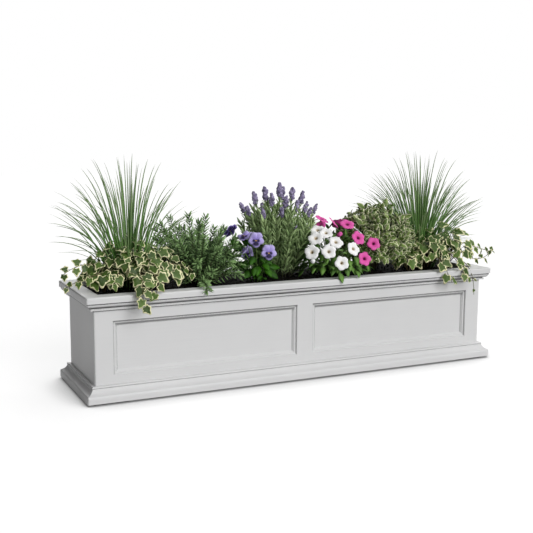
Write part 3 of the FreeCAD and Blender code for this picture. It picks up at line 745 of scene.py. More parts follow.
rosemary_leaf = plain_leaf("rosemary_needle", tone(22, 52, 20), tone(160, 198, 128), foot=0.42, roughness=0.5)
rosemary_wood = woody_stem("rosemary_wood", young=tone(112, 132, 88), old=tone(84, 66, 48))
stand_for(
    "rosemary", "rosemary", ("rosemary_needles", needles, rosemary_leaf),
    ("rosemary_stems", stems, rosemary_wood),
)


# Lavender: a bush of grey-green leafy stems from one crown in the soil, and slim stalks that each end in a
# spike of violet buds set in rings. The spikes stand at uneven heights and fan out.

lavender_spot = np.array([-0.008, 0.030, soil_top])
lavender_mound = (0.104, 0.112, 0.192)
lavender_stem = (0.0014, 0.0006)
lavender_stem_count = 40
lavender_leaf_length = 0.037
lavender_leaf_width = 0.0078
lavender_leaf_spacing = 0.0100
lavender_jitter = 0.012
spike_stalk = (0.0012, 0.0008)
spike_leaf_spacing = 0.014
spike_length = 0.032
tallest_spike = 0.252
bud_length = 0.0098
bud_ring_count = 7
buds_in_ring = 5
# Place of each spike's tip on the box, and its height above the soil
spike_tips = [
    (-0.117, 0.040, 0.203), (-0.111, 0.010, 0.196), (-0.077, -0.020, 0.188), (-0.075, 0.045, 0.230),
    (-0.053, 0.020, 0.244), (-0.042, 0.000, 0.227), (-0.024, -0.030, 0.192), (0.000, 0.035, 0.252),
    (0.002, -0.005, 0.219), (0.012, -0.045, 0.147), (0.024, 0.060, 0.240), (0.046, 0.012, 0.206),
    (0.050, 0.050, 0.237), (0.072, 0.005, 0.201), (0.080, 0.045, 0.227), (0.082, 0.000, 0.186),
    (0.125, 0.045, 0.191), (-0.030, 0.085, 0.194), (0.040, 0.095, 0.188), (-0.080, 0.090, 0.176),
]


def lavender_profile(share):
    """Half width of a lavender leaf along its length."""
    return 0.55 + 0.45 * math.sin(math.pi * min(1.0, share * 1.15))


def bud_form():
    """Small pointed bud, closed, one unit long along Y."""
    rings = ((0.0, 0.12), (0.35, 0.36), (0.78, 0.34))
    angles = -math.pi * np.arange(6) / 3
    circles = []
    for reach, radius in rings:
        circles.append([(radius * math.cos(a), reach, radius * math.sin(a)) for a in angles])
    return tube(circles, [reach for reach, _ in rings], (0.0, 1.0, 0.0))


rng = np.random.default_rng(8)
leaves, stems, flowers = Growth(), Growth(), Growth()
lavender_forms = leaf_forms(
    lavender_leaf_length, lavender_leaf_width, lavender_profile, bends=(-0.3, 0.2, 0.7), cup=0.35,
    thickness=0.0007, stations=4,
)
lavender_bud = bud_form()
for _, turn, tilt in dome(lavender_stem_count, 82):
    jitter = rng.uniform(-lavender_jitter, lavender_jitter, 3)
    tip = mound_spot(lavender_spot, lavender_mound, turn, tilt) + jitter
    start = partway(lavender_spot, tip, 0.45, 0.0) - upward * root_depth
    path = arch(start, partway(lavender_spot, tip, 0.75, 0.55), tip, 10)
    stems.add(stem_form(path, lavender_stem), rng.uniform(0, 1))
    leafy_sprig(
        leaves, lavender_forms, rng, path, bare=0.04, spacing=lavender_leaf_spacing, per_node=2, opening=0.6,
        sizes=(0.75, 1.15),
    )
for x, y, top in spike_tips:
    tip = np.array([x, y, soil_top + top])
    path = arch(partway(lavender_spot, tip, 0.35, 0.0), partway(lavender_spot, tip, 0.72, 0.6), tip, 12)
    stems.add(stem_form(path, spike_stalk), rng.uniform(0.5, 1))
    leafy_sprig(
        leaves, lavender_forms, rng, path[:10], bare=0.3, spacing=spike_leaf_spacing, per_node=2, opening=0.6,
        sizes=(0.6, 0.9),
    )
    axis = unit(path[-1] - path[-3])
    growth = top / tallest_spike
    for ring in range(bud_ring_count):
        share = ring / (bud_ring_count - 1)
        spot = tip - axis * spike_length * growth * (1 - share)
        girth = 0.75 + 0.5 * math.sin(math.pi * (0.15 + 0.75 * share))
        for bud in range(buds_in_ring):
            turn = 2 * math.pi * (bud + 0.5 * (ring % 2)) / buds_in_ring + rng.uniform(-0.2, 0.2)
            lean = 0.95 - 0.55 * share + rng.uniform(-0.3, 0.3)
            bud_axis = axis * math.cos(lean) + square_to(axis, turn) * math.sin(lean)
            size = bud_length * growth * girth * rng.uniform(0.7, 1.25)
            flowers.add(lavender_bud, rng.uniform(0, 1), facing(bud_axis, axis), spot, size)
lavender_leaf = plain_leaf("lavender_leaf", tone(88, 122, 64), tone(190, 214, 152), foot=0.5, roughness=0.55)
lavender_stalk = woody_stem("lavender_stalk", young=tone(116, 138, 92), old=tone(92, 96, 62))
lavender_petal = plain_leaf("lavender_bud", tone(80, 72, 104), tone(170, 160, 194), foot=0.55, roughness=0.6)
stand_for(
    "lavender", "lavender", ("lavender_leaves", leaves, lavender_leaf),
    ("lavender_stems", stems, lavender_stalk), ("lavender_spikes", flowers, lavender_petal),
)


# Pansies: a low rosette of rounded leaves on soft stalks from one crown, with five-petalled violet flowers,
# most of which face the front. The lower petals are darker, with a blotch round a yellow eye.

pansy_spot = np.array([-0.112, -0.060, soil_top])
pansy_leaf_length = 0.036
pansy_leaf_width = 0.023
pansy_leaf_count = 30
pansy_petal_length = 0.0225
petal_thickness = 0.0005
rosette_radius = 0.022
rosette_taper = 0.008
rosette_foot = 0.014
rosette_rise = 0.058
rosette_jitter = 0.004
# Clear way round a flower's middle, behind its face and before it
pansy_clear = 0.019
flower_back = 0.004
flower_view = 0.06
flower_stalk = (0.0013, 0.0011)
leaf_stalk = (0.0012, 0.0009)
neck_length = 0.012
neck_drop = 0.006
stalk_gap = 0.001
crown_depth = 0.003
# The way in which leaves turn their upper sides: to the front, and a little to the left
frontward = compass(-0.3)
# Degrees to the left past which a pansy shows its back and is painted dark all over as shade
shaded_back_turn = -150
# Middle of each flower and, in degrees, its turn from the front and its tilt from upright
Bloom = namedtuple("Bloom", "x y z turn tilt")
pansy_blooms = [
    Bloom(-0.130, -0.088, 0.382, -24, 78), Bloom(-0.097, -0.098, 0.348, -18, 80),
    Bloom(-0.144, -0.046, 0.389, -60, 36), Bloom(-0.180, -0.030, 0.402, -158, 62),
    Bloom(-0.156, -0.066, 0.350, -108, 56), Bloom(-0.128, -0.022, 0.338, 165, 72),
]
# Turn of each petal from straight down, how far it stands forward, its shares of width and length, and tint
Petal = namedtuple("Petal", "turn forward wide long tint")
pansy_petals = [
    Petal(152, 0.0, 1.05, 1.05, 0.04), Petal(-152, 0.0010, 1.05, 1.05, 0.04),
    Petal(80, 0.0026, 0.84, 0.96, 0.52), Petal(-80, 0.0032, 0.84, 0.96, 0.52),
    Petal(0, 0.0048, 0.92, 0.90, 0.9),
]
# Middle of each leaf that stands clear of the rest, its size, and how far its tip rises
pansy_clear_leaves = [
    (-0.163, -0.042, 0.362, 1.0, 0.9), (-0.141, -0.050, 0.372, 0.8, 0.5),
    (-0.158, -0.094, 0.293, 1.0, -0.5), (-0.127, -0.092, 0.302, 1.0, -0.6),
    (-0.116, -0.106, 0.284, 1.05, -0.7), (-0.082, -0.092, 0.288, 1.1, -0.4),
    (-0.062, -0.064, 0.303, 1.0, -0.1), (-0.139, -0.085, 0.329, 0.95, -0.4),
    (-0.152, -0.072, 0.318, 1.0, -0.4), (-0.146, -0.060, 0.338, 0.95, 0.2),
    (-0.102, -0.092, 0.310, 0.9, -0.6), (-0.090, -0.082, 0.322, 0.8, -0.3),
    (-0.140, -0.098, 0.300, 0.9, -0.7), (-0.112, -0.090, 0.330, 0.8, -0.3),
    (-0.100, -0.104, 0.296, 0.9, -0.7), (-0.167, -0.040, 0.367, 1.25, 1.2),
    (-0.152, -0.024, 0.327, 1.2, 0.1), (-0.130, -0.020, 0.322, 1.2, -0.2),
    (-0.160, -0.040, 0.308, 1.1, -0.3), (-0.138, -0.036, 0.306, 1.1, -0.4),
    (-0.140, -0.012, 0.342, 1.1, 0.5),
]


def ovate(share):
    """Half width of a broad leaf along its length."""
    return 0.06 + 0.94 * math.sin(math.pi * min(1.0, 0.04 + 0.96 * share) ** 0.75)


def petal_form(size, ruffle):
    """Rounded fan-shaped petal, closed, from its claw at the origin along Y."""
    rings = (0.2, 0.4, 0.6, 0.8, 1.0)
    across = np.linspace(-1, 1, 13)
    angle = across * math.radians(102)
    fans = []
    for ring in rings:
        y = ring * (0.55 + 0.45 * np.cos(angle) + 0.015 * np.cos(9 * across))
        z = ring ** 2 * (ruffle * np.sin(4.5 * across + 0.6) - 0.10)
        fans.append(size * np.column_stack([0.5 * ring * np.sin(angle), y, z]))
    backs = [fan - upward * petal_thickness for fan in fans[:-1]]
    points = np.vstack([np.zeros((1, 3)), *fans, *backs])
    count = len(rings) * len(across)
    upper = np.arange(1, 1 + count).reshape(len(rings), -1)
    under = np.vstack([upper[:-1] + count, upper[-1:]])
    claw = [[0] * len(across)]
    upper, under = claw + upper.tolist(), claw + under.tolist()
    faces = []
    for near, far, near_under, far_under in zip(upper, upper[1:], under, under[1:]):
        for a, b in zip(range(len(across) - 1), range(1, len(across))):
            faces.append([near[a], near[b], far[b], far[a]])
            faces.append([far_under[a], far_under[b], near_under[b], near_under[a]])
        faces.append([near[0], far[0], far_under[0], near_under[0]])
        faces.append([near_under[-1], far_under[-1], far[-1], near[-1]])
    along = [0.0, *np.repeat(rings + rings[:-1], len(across))]
    edge = [1.0, *np.tile(np.abs(across), 2 * len(rings) - 1)]
    return Form(points, [list(dict.fromkeys(face)) for face in faces], np.array(along), np.array(edge))


def leaning(turn, tilt):
    """Direction at a turn from the front and a tilt from upright."""
    return compass(turn) * math.sin(tilt) + upward * math.cos(tilt)


def bloom_frame(bloom):
    """Turn of a flower: across, up its face, and out of its face."""
    out = leaning(math.radians(bloom.turn), math.radians(bloom.tilt))
    across = unit(np.cross(upward, out))
    return np.column_stack([across, np.cross(out, across), out])


def before_flowers(blooms, clear):
    """Test that is true where a form would cut through a flower's face or stand before it."""
    fronts = [(np.array(bloom[:3]), bloom_frame(bloom)[:, 2]) for bloom in blooms]

    def test(points):
        for middle, out in fronts:
            ahead = (points - middle) @ out
            aside = np.linalg.norm(points - middle - ahead[:, None] * out, axis=1)
            if np.any((aside < clear) & (ahead > -flower_back) & (ahead < flower_view)):
                return True
        return False

    return test


def spin(angle):
    """Turn about the outward axis of a flower."""
    c, s = math.cos(angle), math.sin(angle)
    return np.array([[c, -s, 0], [s, c, 0], [0, 0, 1]])


def add_stalk(stems, foot, end, aside, rise, radii, tint, count=6, sides=5):
    """Stalk from a plant's crown, just under the soil, to an end."""
    path = arch(foot - upward * crown_depth, partway(foot, end, aside, rise), end, count)
    stems.add(stem_form(path, radii, sides), tint)


def pansy_petal():
    """Lilac petal with a dark blotch and a yellow eye. The tint says how far the blotch runs up the petal."""
    material, tree = start_material("pansy_petal")
    tint, along, across = (reading(tree, mark) for mark in ("tint", "along", "edge"))
    lilac = along_colour(
        tree, (0.0, tone(136, 116, 204)), (0.5, tone(172, 156, 226)), (1.0, tone(204, 194, 244))
    )
    reach = [calculate(tree, "MULTIPLY", tint, share) for share in (0.72, 1.04)]
    blotch = ranged(tree, along, reach, (1.0, 0.0), interpolation_type="SMOOTHSTEP")
    dark = calculate(tree, "MULTIPLY", blotch, ranged(tree, across, (0.68, 1.0), (1.0, 0.0)))
    deep = calculate(tree, "MULTIPLY", calculate(tree, "POWER", tint, 8.0), 0.7)
    eye = calculate(tree, "MULTIPLY", ranged(tree, along, (0.12, 0.17), (1.0, 0.0)), tint)
    # Painted shade along the petal's side edges, where petals overlap
    overlap_shade = ranged(tree, across, (0.8, 1.0), (0.0, 0.6))
    colour = lilac
    for share, over in (
        (deep, tone(88, 62, 170)), (overlap_shade, tone(84, 60, 160)), (dark, tone(20, 4, 58)),
        (eye, tone(242, 196, 72)),
    ):
        colour = mix_colours(tree, share, colour, over)
    return finish_material(material, colour, 0.7, (cloudy(tree, 900.0, 1.5), 0.0003, 0.3))


rng = np.random.default_rng(13)
leaves = Growth(in_rim, before_flowers(pansy_blooms, pansy_clear))
flowers, stalks = Growth(), Growth()
petal_forms = [petal_form(pansy_petal_length, ruffle) for ruffle in (0.07, 0.10)]
for bloom in pansy_blooms:
    face = bloom_frame(bloom)
    out = face[:, 2]
    middle = np.array(bloom[:3])
    for index, petal in enumerate(pansy_petals):
        turn = face @ spin(math.pi + math.radians(petal.turn)) @ np.diag([petal.wide, petal.long, 1.0])
        # A flower turned away takes the darkest tint on every petal: painted shade on its back
        tint = 1.0 if bloom.turn < shaded_back_turn else petal.tint
        flowers.add(petal_forms[index % 2], tint, turn, middle + out * petal.forward)
    back = middle - out * neck_length - upward * neck_drop
    rise = arch(partway(pansy_spot, middle, 0.25, 0.0), partway(pansy_spot, back, 0.6, 0.8), back, 8)
    path = np.concatenate([rise, [middle - out * stalk_gap]])
    stalks.add(stem_form(path, flower_stalk), rng.uniform(0.4, 1))
pansy_forms = leaf_forms(
    pansy_leaf_length, pansy_leaf_width, ovate, bends=(0.2, 0.5, 0.8), cup=0.18, thickness=0.0008, stations=7
)
for index, (*middle, size, lift) in enumerate(pansy_clear_leaves):
    away = unit((middle - pansy_spot) * np.array([1, 1, 0]))
    along = unit(away + upward * lift)
    base = middle - along * 0.5 * pansy_leaf_length * size
    upper = 0.7 * upward + 0.4 * away + frontward + rng.uniform(-0.2, 0.2, 3)
    if leaves.add(pansy_forms[index % 2], rng.uniform(0.3, 1), facing(along, upper), base, size):
        add_stalk(stalks, pansy_spot, base, aside=0.4, rise=0.8, radii=leaf_stalk, tint=0.3)
for index in range(pansy_leaf_count):
    turn = golden_turn * index
    out = compass(turn)
    level = uneven(index)
    base = pansy_spot + out * (rosette_radius - rosette_taper * level)
    base = base + upward * (rosette_foot + rosette_rise * level)
    base = base + rng.uniform(-rosette_jitter, rosette_jitter, 3)
    upper = upward + 0.3 * out + rng.uniform(-0.3, 0.3, 3)
    lie = facing(leaning(turn, math.radians(88 - 44 * level)), upper)
    form = pansy_forms[index % len(pansy_forms)]
    if leaves.add(form, rng.uniform(0, 0.7), lie, base, rng.uniform(0.7, 1.0)):
        add_stalk(stalks, pansy_spot, base, aside=0.3, rise=0.6, radii=leaf_stalk, tint=rng.uniform(0, 0.5))
soft_stalk = plain_leaf("soft_green_stalk", tone(58, 92, 38), tone(108, 140, 72), foot=0.8, roughness=0.5)
pansy_leaf = plain_leaf("pansy_leaf", tone(5, 20, 1), tone(54, 108, 10), foot=0.6, roughness=0.5)
stand_for(
    "pansy", "pansy", ("pansy_leaves", leaves, pansy_leaf), ("pansy_flowers", flowers, pansy_petal()),
    ("pansy_stalks", stalks, soft_stalk),
)


# Petunias: a mound of soft pointed leaves on stalks from one crown, under open trumpet flowers, white at the
# front left and pink at the right and behind. Each is one funnel with five shallow lobes and a dark throat.

petunia_spot = np.array([0.135, -0.040, soil_top])
petunia_mound = (0.102, 0.036, 0.142)
petunia_leaf_length = 0.032
petunia_leaf_width = 0.018
petunia_leaf_count = 240
petunia_clear = 0.021
petunia_stalk = (0.0018, 0.001)
trumpet_stalk = (0.0013, 0.0018)
trumpet_thickness = 0.0006
white_radius = 0.0215
pink_radius = 0.0212
bud_radius = 0.016
white_blooms = [
    Bloom(0.026, -0.112, 0.345, -40, 68), Bloom(0.070, -0.128, 0.346, -22, 62),
    Bloom(0.101, -0.146, 0.315, -14, 72), Bloom(0.050, -0.090, 0.380, -38, 48),
    Bloom(0.088, -0.080, 0.392, -18, 40), Bloom(0.106, -0.104, 0.368, -8, 46),
    Bloom(0.074, -0.056, 0.398, -30, 36), Bloom(0.147, -0.130, 0.350, 10, 64),
    Bloom(0.205, -0.046, 0.394, 70, 40),
]
pink_blooms = [
    Bloom(0.110, -0.016, 0.424, 40, 28), Bloom(0.095, -0.030, 0.405, -70, 55),
    Bloom(0.140, -0.032, 0.414, 60, 48), Bloom(0.172, -0.052, 0.410, -10, 34),
    Bloom(0.178, -0.104, 0.376, 4, 62), Bloom(0.238, -0.088, 0.355, -16, 66),
    Bloom(0.185, -0.128, 0.320, 0, 72), Bloom(0.180, 0.010, 0.405, 150, 50),
    Bloom(0.130, 0.030, 0.400, 190, 55),
]
white_buds = [Bloom(0.030, -0.112, 0.320, -30, 80)]
pink_buds = [Bloom(0.126, -0.086, 0.385, 10, 60), Bloom(0.240, -0.056, 0.372, 60, 50)]
# Leaf that hangs over the front of the rim: its foot, the way it points and the way its upper side looks
hanging_leaf = ((0.098, -0.139, 0.287), (0.05, -0.55, -0.8), (0, -0.8, 0.55))


def trumpet_form(radius):
    """Five-lobed funnel, closed, facing along Z with its throat at the origin."""
    corners = 40
    rings = (
        (0.07, -0.62), (0.10, -0.34), (0.17, -0.13), (0.34, -0.03), (0.60, 0.03), (0.82, 0.04), (1.0, -0.03),
    )
    angle = 2 * math.pi * np.arange(corners) / corners
    notch = np.abs(np.cos(2.5 * angle)) ** 4
    points = []
    for skin in (0.0, trumpet_thickness):
        for reach, height in rings:
            lobe = 1 - 0.16 * notch * reach ** 2 - 0.02 * reach * np.sin(10 * angle)
            ruffle = 0.035 * reach ** 2 * np.sin(15 * angle + 1) - 0.05 * notch * reach ** 2
            wide = radius * reach * lobe
            z = radius * (height + ruffle) - skin * (1 if reach < 1 else 0.2)
            points.append(np.column_stack([wide * np.cos(angle), wide * np.sin(angle), z]))
    front, back = np.arange(2 * len(rings) * corners).reshape(2, len(rings), corners).tolist()
    faces = [front[0], back[0][::-1], *band(back[-1], front[-1])]
    for near, far in zip(front, front[1:]):
        faces += [[a, d, c, b] for a, b, c, d in band(near, far)]
    for near, far in zip(back, back[1:]):
        faces += [[b, c, d, a] for a, b, c, d in band(near, far)]
    along = np.tile(np.repeat([reach for reach, _ in rings], corners), 2)
    return Form(np.vstack(points), faces, along, np.tile(np.abs(np.sin(2.5 * angle)), 2 * len(rings)))


def bud_cone(radius):
    """Rolled bud: a tapered twist of petals with a blunt end, along Z."""
    path = radius * np.outer([-1.1, -0.6, 0.0, 0.5, 0.8], upward)
    form = stem_form(path, radius * np.array([0.14, 0.2, 0.42, 0.40, 0.12]), 8)
    return form._replace(along=np.repeat([0.1, 0.2, 0.6, 0.9, 1.0], 8))


def petunia_petal(name, throat, vein, face, rim):
    """Thin petal: dark throat, faint veins that fade outwards, clean rim."""
    material, tree = start_material(name)
    run = along_colour(tree, (0.1, throat), (0.18, vein), (0.34, face), (1.0, rim))
    lines = ranged(tree, reading(tree, "edge"), (0.16, 0.0), (0.0, 0.45))
    fade = ranged(tree, reading(tree, "along"), (0.25, 0.95), (1.0, 0.15))
    colour = mix_colours(tree, calculate(tree, "MULTIPLY", lines, fade), run, vein)
    return finish_material(material, colour, 0.6, (cloudy(tree, 500.0, 1.6), 0.0005, 0.3))


rng = np.random.default_rng(17)
before_petunias = before_flowers(white_blooms + pink_blooms, petunia_clear)
leaves = Growth(in_rim, before_petunias)
white_flowers, pink_flowers, stalks = Growth(), Growth(), Growth()
for flowers, blooms, form in (
    (white_flowers, white_blooms, trumpet_form(white_radius)),
    (pink_flowers, pink_blooms, trumpet_form(pink_radius)),
    (white_flowers, white_buds, bud_cone(bud_radius)),
    (pink_flowers, pink_buds, bud_cone(bud_radius)),
):
    for bloom in blooms:
        face = bloom_frame(bloom)
        out = face[:, 2]
        middle = np.array(bloom[:3])
        tint = rng.uniform(0, 1)
        turn = face @ spin(rng.uniform(0, 6.28))
        flowers.add(form, tint, turn, middle, rng.uniform(0.92, 1.06))
        back = middle + out * form.points[:, 2].min() * 0.8
        below = back - out * neck_length - upward * neck_drop
        start = partway(petunia_spot, middle, 0.35, 0.1)
        path = np.concatenate([arch(start, partway(start, below, 0.5, 0.9), below, 7), [back]])
        stalks.add(stem_form(path, trumpet_stalk, 6), rng.uniform(0, 1))
petunia_forms = leaf_forms(
    petunia_leaf_length, petunia_leaf_width, ovate, bends=(0.2, 0.6, 1.1), cup=0.2, thickness=0.0007,
    stations=6,
)
for index, turn, tilt in dome(petunia_leaf_count, 100):
    depth = rng.uniform(0.72, 0.98)
    spot = mound_spot(petunia_spot, np.array(petunia_mound) * (depth, 1.0, depth), turn, tilt)
    axis = leaning(turn, tilt) - 0.35 * upward + rng.uniform(-0.4, 0.4, 3)
    upper = upward + compass(turn) * 0.6 + rng.uniform(-0.3, 0.3, 3)
    form = petunia_forms[index % len(petunia_forms)]
    size = rng.uniform(0.75, 1.15)
    if leaves.add(form, rng.uniform(0, 1), facing(axis, upper), spot, size) and index % 3 == 0:
        add_stalk(stalks, petunia_spot, spot, aside=0.4, rise=0.75, radii=petunia_stalk, tint=0.3)
foot, axis, upper = hanging_leaf
leaves.add(petunia_forms[0], 0.8, facing(axis, upper), np.array(foot))
white_petal = petunia_petal(
    "white_petal", throat=tone(178, 156, 116), vein=tone(214, 204, 184), face=tone(253, 252, 251),
    rim=tone(254, 254, 254),
)
pink_petal = petunia_petal(
    "pink_petal", throat=tone(84, 14, 52), vein=tone(150, 36, 100), face=tone(226, 74, 166),
    rim=tone(236, 98, 182),
)
petunia_leaf = plain_leaf("petunia_leaf", tone(42, 80, 28), tone(118, 162, 76), foot=0.65, roughness=0.5)
stand_for(
    "petunia", "petunia", ("petunia_leaves", leaves, petunia_leaf),
    ("petunia_white_flowers", white_flowers, white_petal), ("petunia_pink_flowers", pink_flowers, pink_petal),
    ("petunia_stalks", stalks, soft_stalk),
)


# Variegated shrub: a dense dome of small stiff leaves on thin twigs that grow from one crown in the soil.
# Each leaf is green with a ragged cream margin, and the leaves inside the dome are painted darker as shade.

shrub_spot = np.array([0.302, 0.008, soil_top])
shrub_mound = (0.106, 0.082, 0.182)
shrub_leaf_length = 0.0265
shrub_leaf_width = 0.0165
shrub_leaf_count = 1600
shrub_twig_count = 70
shrub_twig = (0.0018, 0.0006)


def pale_margin_group():
    """Leaf colour with a ragged pale margin, by the distance from the leaf's edge."""
    colours = {"Color": (0.1, 0.3, 0.1, 1.0), "Margin": (0.8, 0.8, 0.6, 1.0)}
    inputs = {**colours, "Width": 0.3, "Ragged": 0.3, "Scale": 200.0}
    group, enter, leave = start_group("pale_margin", inputs, {"Color": "Color"})
    inward = reading(group, "edge")
    shift = calculate(group, "MULTIPLY", cloudy(group, enter["Scale"], 2.4), enter["Ragged"])
    inner = calculate(group, "ADD", enter["Width"], shift)
    outer = calculate(group, "SUBTRACT", inner, 0.14)
    fade = ranged(group, inward, (outer, inner), (1.0, 0.0), interpolation_type="SMOOTHSTEP")
    heart = ranged(group, inward, (0.4, 1.0), (0.0, 0.45))
    deeper = mix_colours(group, heart, enter["Color"], tone(44, 66, 24))
    feed(group, leave["Color"], mix_colours(group, fade, deeper, enter["Margin"]))
    return group


pale_margin = pale_margin_group()


def margined_leaf(name, dark, light, margin, width, ragged, scale, roughness):
    """Leaf with a pale ragged margin and painted shade towards its foot."""
    material, tree = start_material(name)
    greens = add_node(tree, "Group", {"Dark": dark, "Light": light, "Foot": 0.75}, node_tree=leaf_tone)
    sockets = {"Color": greens["Color"], "Margin": margin, "Width": width, "Ragged": ragged, "Scale": scale}
    colour = add_node(tree, "Group", sockets, node_tree=pale_margin)["Color"]
    return finish_material(material, colour, roughness, (greens["Mask"], *leaf_relief), specular=0.3)


rng = np.random.default_rng(29)
leaves, twigs = Growth(before_petunias), Growth()
shrub_forms = leaf_forms(
    shrub_leaf_length, shrub_leaf_width, ovate, bends=(-0.2, 0.4, 0.9), cup=0.25, thickness=0.0006, stations=4
)
for index, turn, tilt in dome(shrub_leaf_count, 118):
    lumpy = 1 + 0.12 * noise.noise(Vector((math.sin(turn) * 3, math.cos(turn) * 3, tilt * 3)))
    depth = rng.uniform(0.84 if index % 4 else 0.5, 1.0) * lumpy
    spot = mound_spot(shrub_spot, np.array(shrub_mound) * (depth, 1.0, depth), turn, tilt)
    outward = leaning(turn, tilt)
    axis = 0.4 * outward + 0.2 * upward + rng.uniform(-0.9, 0.9, 3)
    upper = outward + 0.3 * upward + 0.6 * frontward + rng.uniform(-0.5, 0.5, 3)
    # Leaves deeper in the dome take darker greens: painted shade
    tint = rng.uniform(0, 1) * min(1.0, depth)
    leaves.add(shrub_forms[index % len(shrub_forms)], tint, facing(axis, upper), spot, rng.uniform(0.65, 1.1))
for _, turn, tilt in dome(shrub_twig_count, 85):
    tip = mound_spot(shrub_spot, shrub_mound, turn, tilt)
    add_stalk(twigs, shrub_spot, tip, aside=0.5, rise=0.7, radii=shrub_twig, tint=rng.uniform(0, 1), count=7)
shrub_leaf = margined_leaf(
    "shrub_leaf", dark=tone(64, 94, 34), light=tone(154, 180, 98), margin=tone(250, 250, 210),
    width=0.16, ragged=0.42, scale=130.0, roughness=0.45,
)
shrub_wood = woody_stem("shrub_wood", young=tone(110, 124, 74), old=tone(78, 62, 46))
stand_for(
    "variegated_shrub", "shrub", ("shrub_leaves", leaves, shrub_leaf), ("shrub_twigs", twigs, shrub_wood)
)


# Ivies: low mounds of lobed leaves with cream margins, rooted near each end of the box. Thin brown runners
# carry smaller leaves over the front rim, past the ends and along the soil.

ivy_leaf_length = 0.037
ivy_leaf_thickness = 0.02
ivy_stalk = (0.0012, 0.0007)
runner_stem = (0.0012, 0.0008)
runner_stalk = (0.0008, 0.0006)
runner_stalk_length = 0.010
runner_stalk_bow = 0.001
runner_leaf_lift = 0.004
# Point from which a runner's leaves look away: this far behind its start and below each leaf
runner_back = 0.1
runner_below = 0.05
# Corners of the right half of a leaf one unit long, from its stalk to its tip
ivy_right_half = [
    (0.0, 0.02), (0.10, -0.06), (0.27, -0.14), (0.41, -0.06), (0.36, 0.13),
    (0.57, 0.36), (0.33, 0.46), (0.19, 0.72), (0.0, 1.03),
]
ivy_heart = np.array([0.0, 0.26])
ivy_rings = np.array([1.0, 0.82, 0.55, 0.25])


def ivy_outline():
    """Margin of one leaf, from its stalk round to its stalk, with the corners eased."""
    corners = np.array(ivy_right_half + [(-x, y) for x, y in ivy_right_half[-2:0:-1]])
    before, after, beyond = (np.roll(corners, shift, axis=0) for shift in (1, -1, -2))
    eased = 0.72 * corners + 0.14 * before + 0.14 * after
    between = 0.53 * corners + 0.53 * after - 0.03 * before - 0.03 * beyond
    return np.stack([eased, between], axis=1).reshape(-1, 2)


def ivy_form(bend, cup):
    """Closed lobed leaf: rings drawn in from the margin to the heart of the blade, above and below."""
    outline = ivy_outline()
    count = len(outline)
    x, y = np.vstack([ivy_heart + (outline - ivy_heart) * ring for ring in ivy_rings] + [ivy_heart]).T
    lift = cup * np.abs(x) * (1 - 0.6 * np.abs(x)) - bend * y * y + 0.05 * np.sin(7 * x + 3 * y)
    top = np.column_stack([x, y, lift])
    edge = np.append(np.repeat(np.minimum(1.0, (1 - ivy_rings) / 0.45), count), 1.0)
    below = len(top) - count
    faces = []
    for shift in (0, below):
        starts = [0] + [ring * count + shift for ring in range(1, len(ivy_rings))]
        loops = [list(range(start, start + count)) for start in starts]
        skin = [[loops[-1][i - 1], loops[-1][i], len(top) - 1 + shift] for i in range(count)]
        for near, far in zip(loops, loops[1:]):
            skin += band(near, far)
        faces += [face[::-1] for face in skin] if shift else skin
    points = np.vstack([top, top[count:] - upward * ivy_leaf_thickness]) * ivy_leaf_length
    return Form(points, faces, np.append(y, y[count:]), np.append(edge, edge[count:]))


ivy_forms = [ivy_form(bend, cup) for bend, cup in ((0.10, 0.15), (0.25, 0.30), (-0.05, 0.22), (0.4, 0.1))]
Mound = namedtuple("Mound", "x y spread wide top leaves")
Runner = namedtuple("Runner", "start bend end leaves size")
left_mounds = [
    Mound(-0.535, -0.042, 0.058, 0.034, 0.080, 36), Mound(-0.412, -0.046, 0.076, 0.036, 0.108, 62),
    Mound(-0.466, -0.016, 0.086, 0.060, 0.130, 68),
]
right_mounds = [
    Mound(0.528, -0.036, 0.066, 0.046, 0.120, 52), Mound(0.440, -0.050, 0.072, 0.036, 0.104, 56),
    Mound(0.372, -0.070, 0.048, 0.026, 0.072, 20), Mound(0.474, -0.020, 0.082, 0.062, 0.130, 50),
]
left_runners = [
    Runner((-0.460, -0.090, 0.318), (-0.472, -0.172, 0.338), (-0.474, -0.172, 0.238), 7, 1.05),
    Runner((-0.425, -0.095, 0.318), (-0.430, -0.160, 0.326), (-0.438, -0.166, 0.268), 4, 1.00),
    Runner((-0.400, -0.090, 0.330), (-0.350, -0.100, 0.348), (-0.306, -0.078, 0.300), 6, 0.85),
    Runner((-0.545, -0.050, 0.335), (-0.600, -0.060, 0.352), (-0.648, -0.064, 0.316), 5, 0.80),
    Runner((-0.550, -0.085, 0.318), (-0.600, -0.094, 0.316), (-0.650, -0.094, 0.288), 5, 0.68),
    Runner((-0.505, -0.080, 0.318), (-0.520, -0.100, 0.318), (-0.530, -0.100, 0.288), 3, 0.85),
]
right_runners = [
    Runner((0.448, -0.095, 0.312), (0.430, -0.150, 0.306), (0.458, -0.162, 0.240), 5, 1.10),
    Runner((0.490, -0.090, 0.318), (0.496, -0.152, 0.298), (0.512, -0.162, 0.238), 5, 0.95),
    Runner((0.520, -0.095, 0.300), (0.542, -0.156, 0.290), (0.538, -0.162, 0.198), 4, 0.40),
    Runner((0.550, -0.056, 0.345), (0.632, -0.057, 0.318), (0.684, -0.056, 0.304), 7, 0.80),
    Runner((0.556, -0.050, 0.325), (0.636, -0.054, 0.252), (0.688, -0.056, 0.310), 6, 0.66),
]


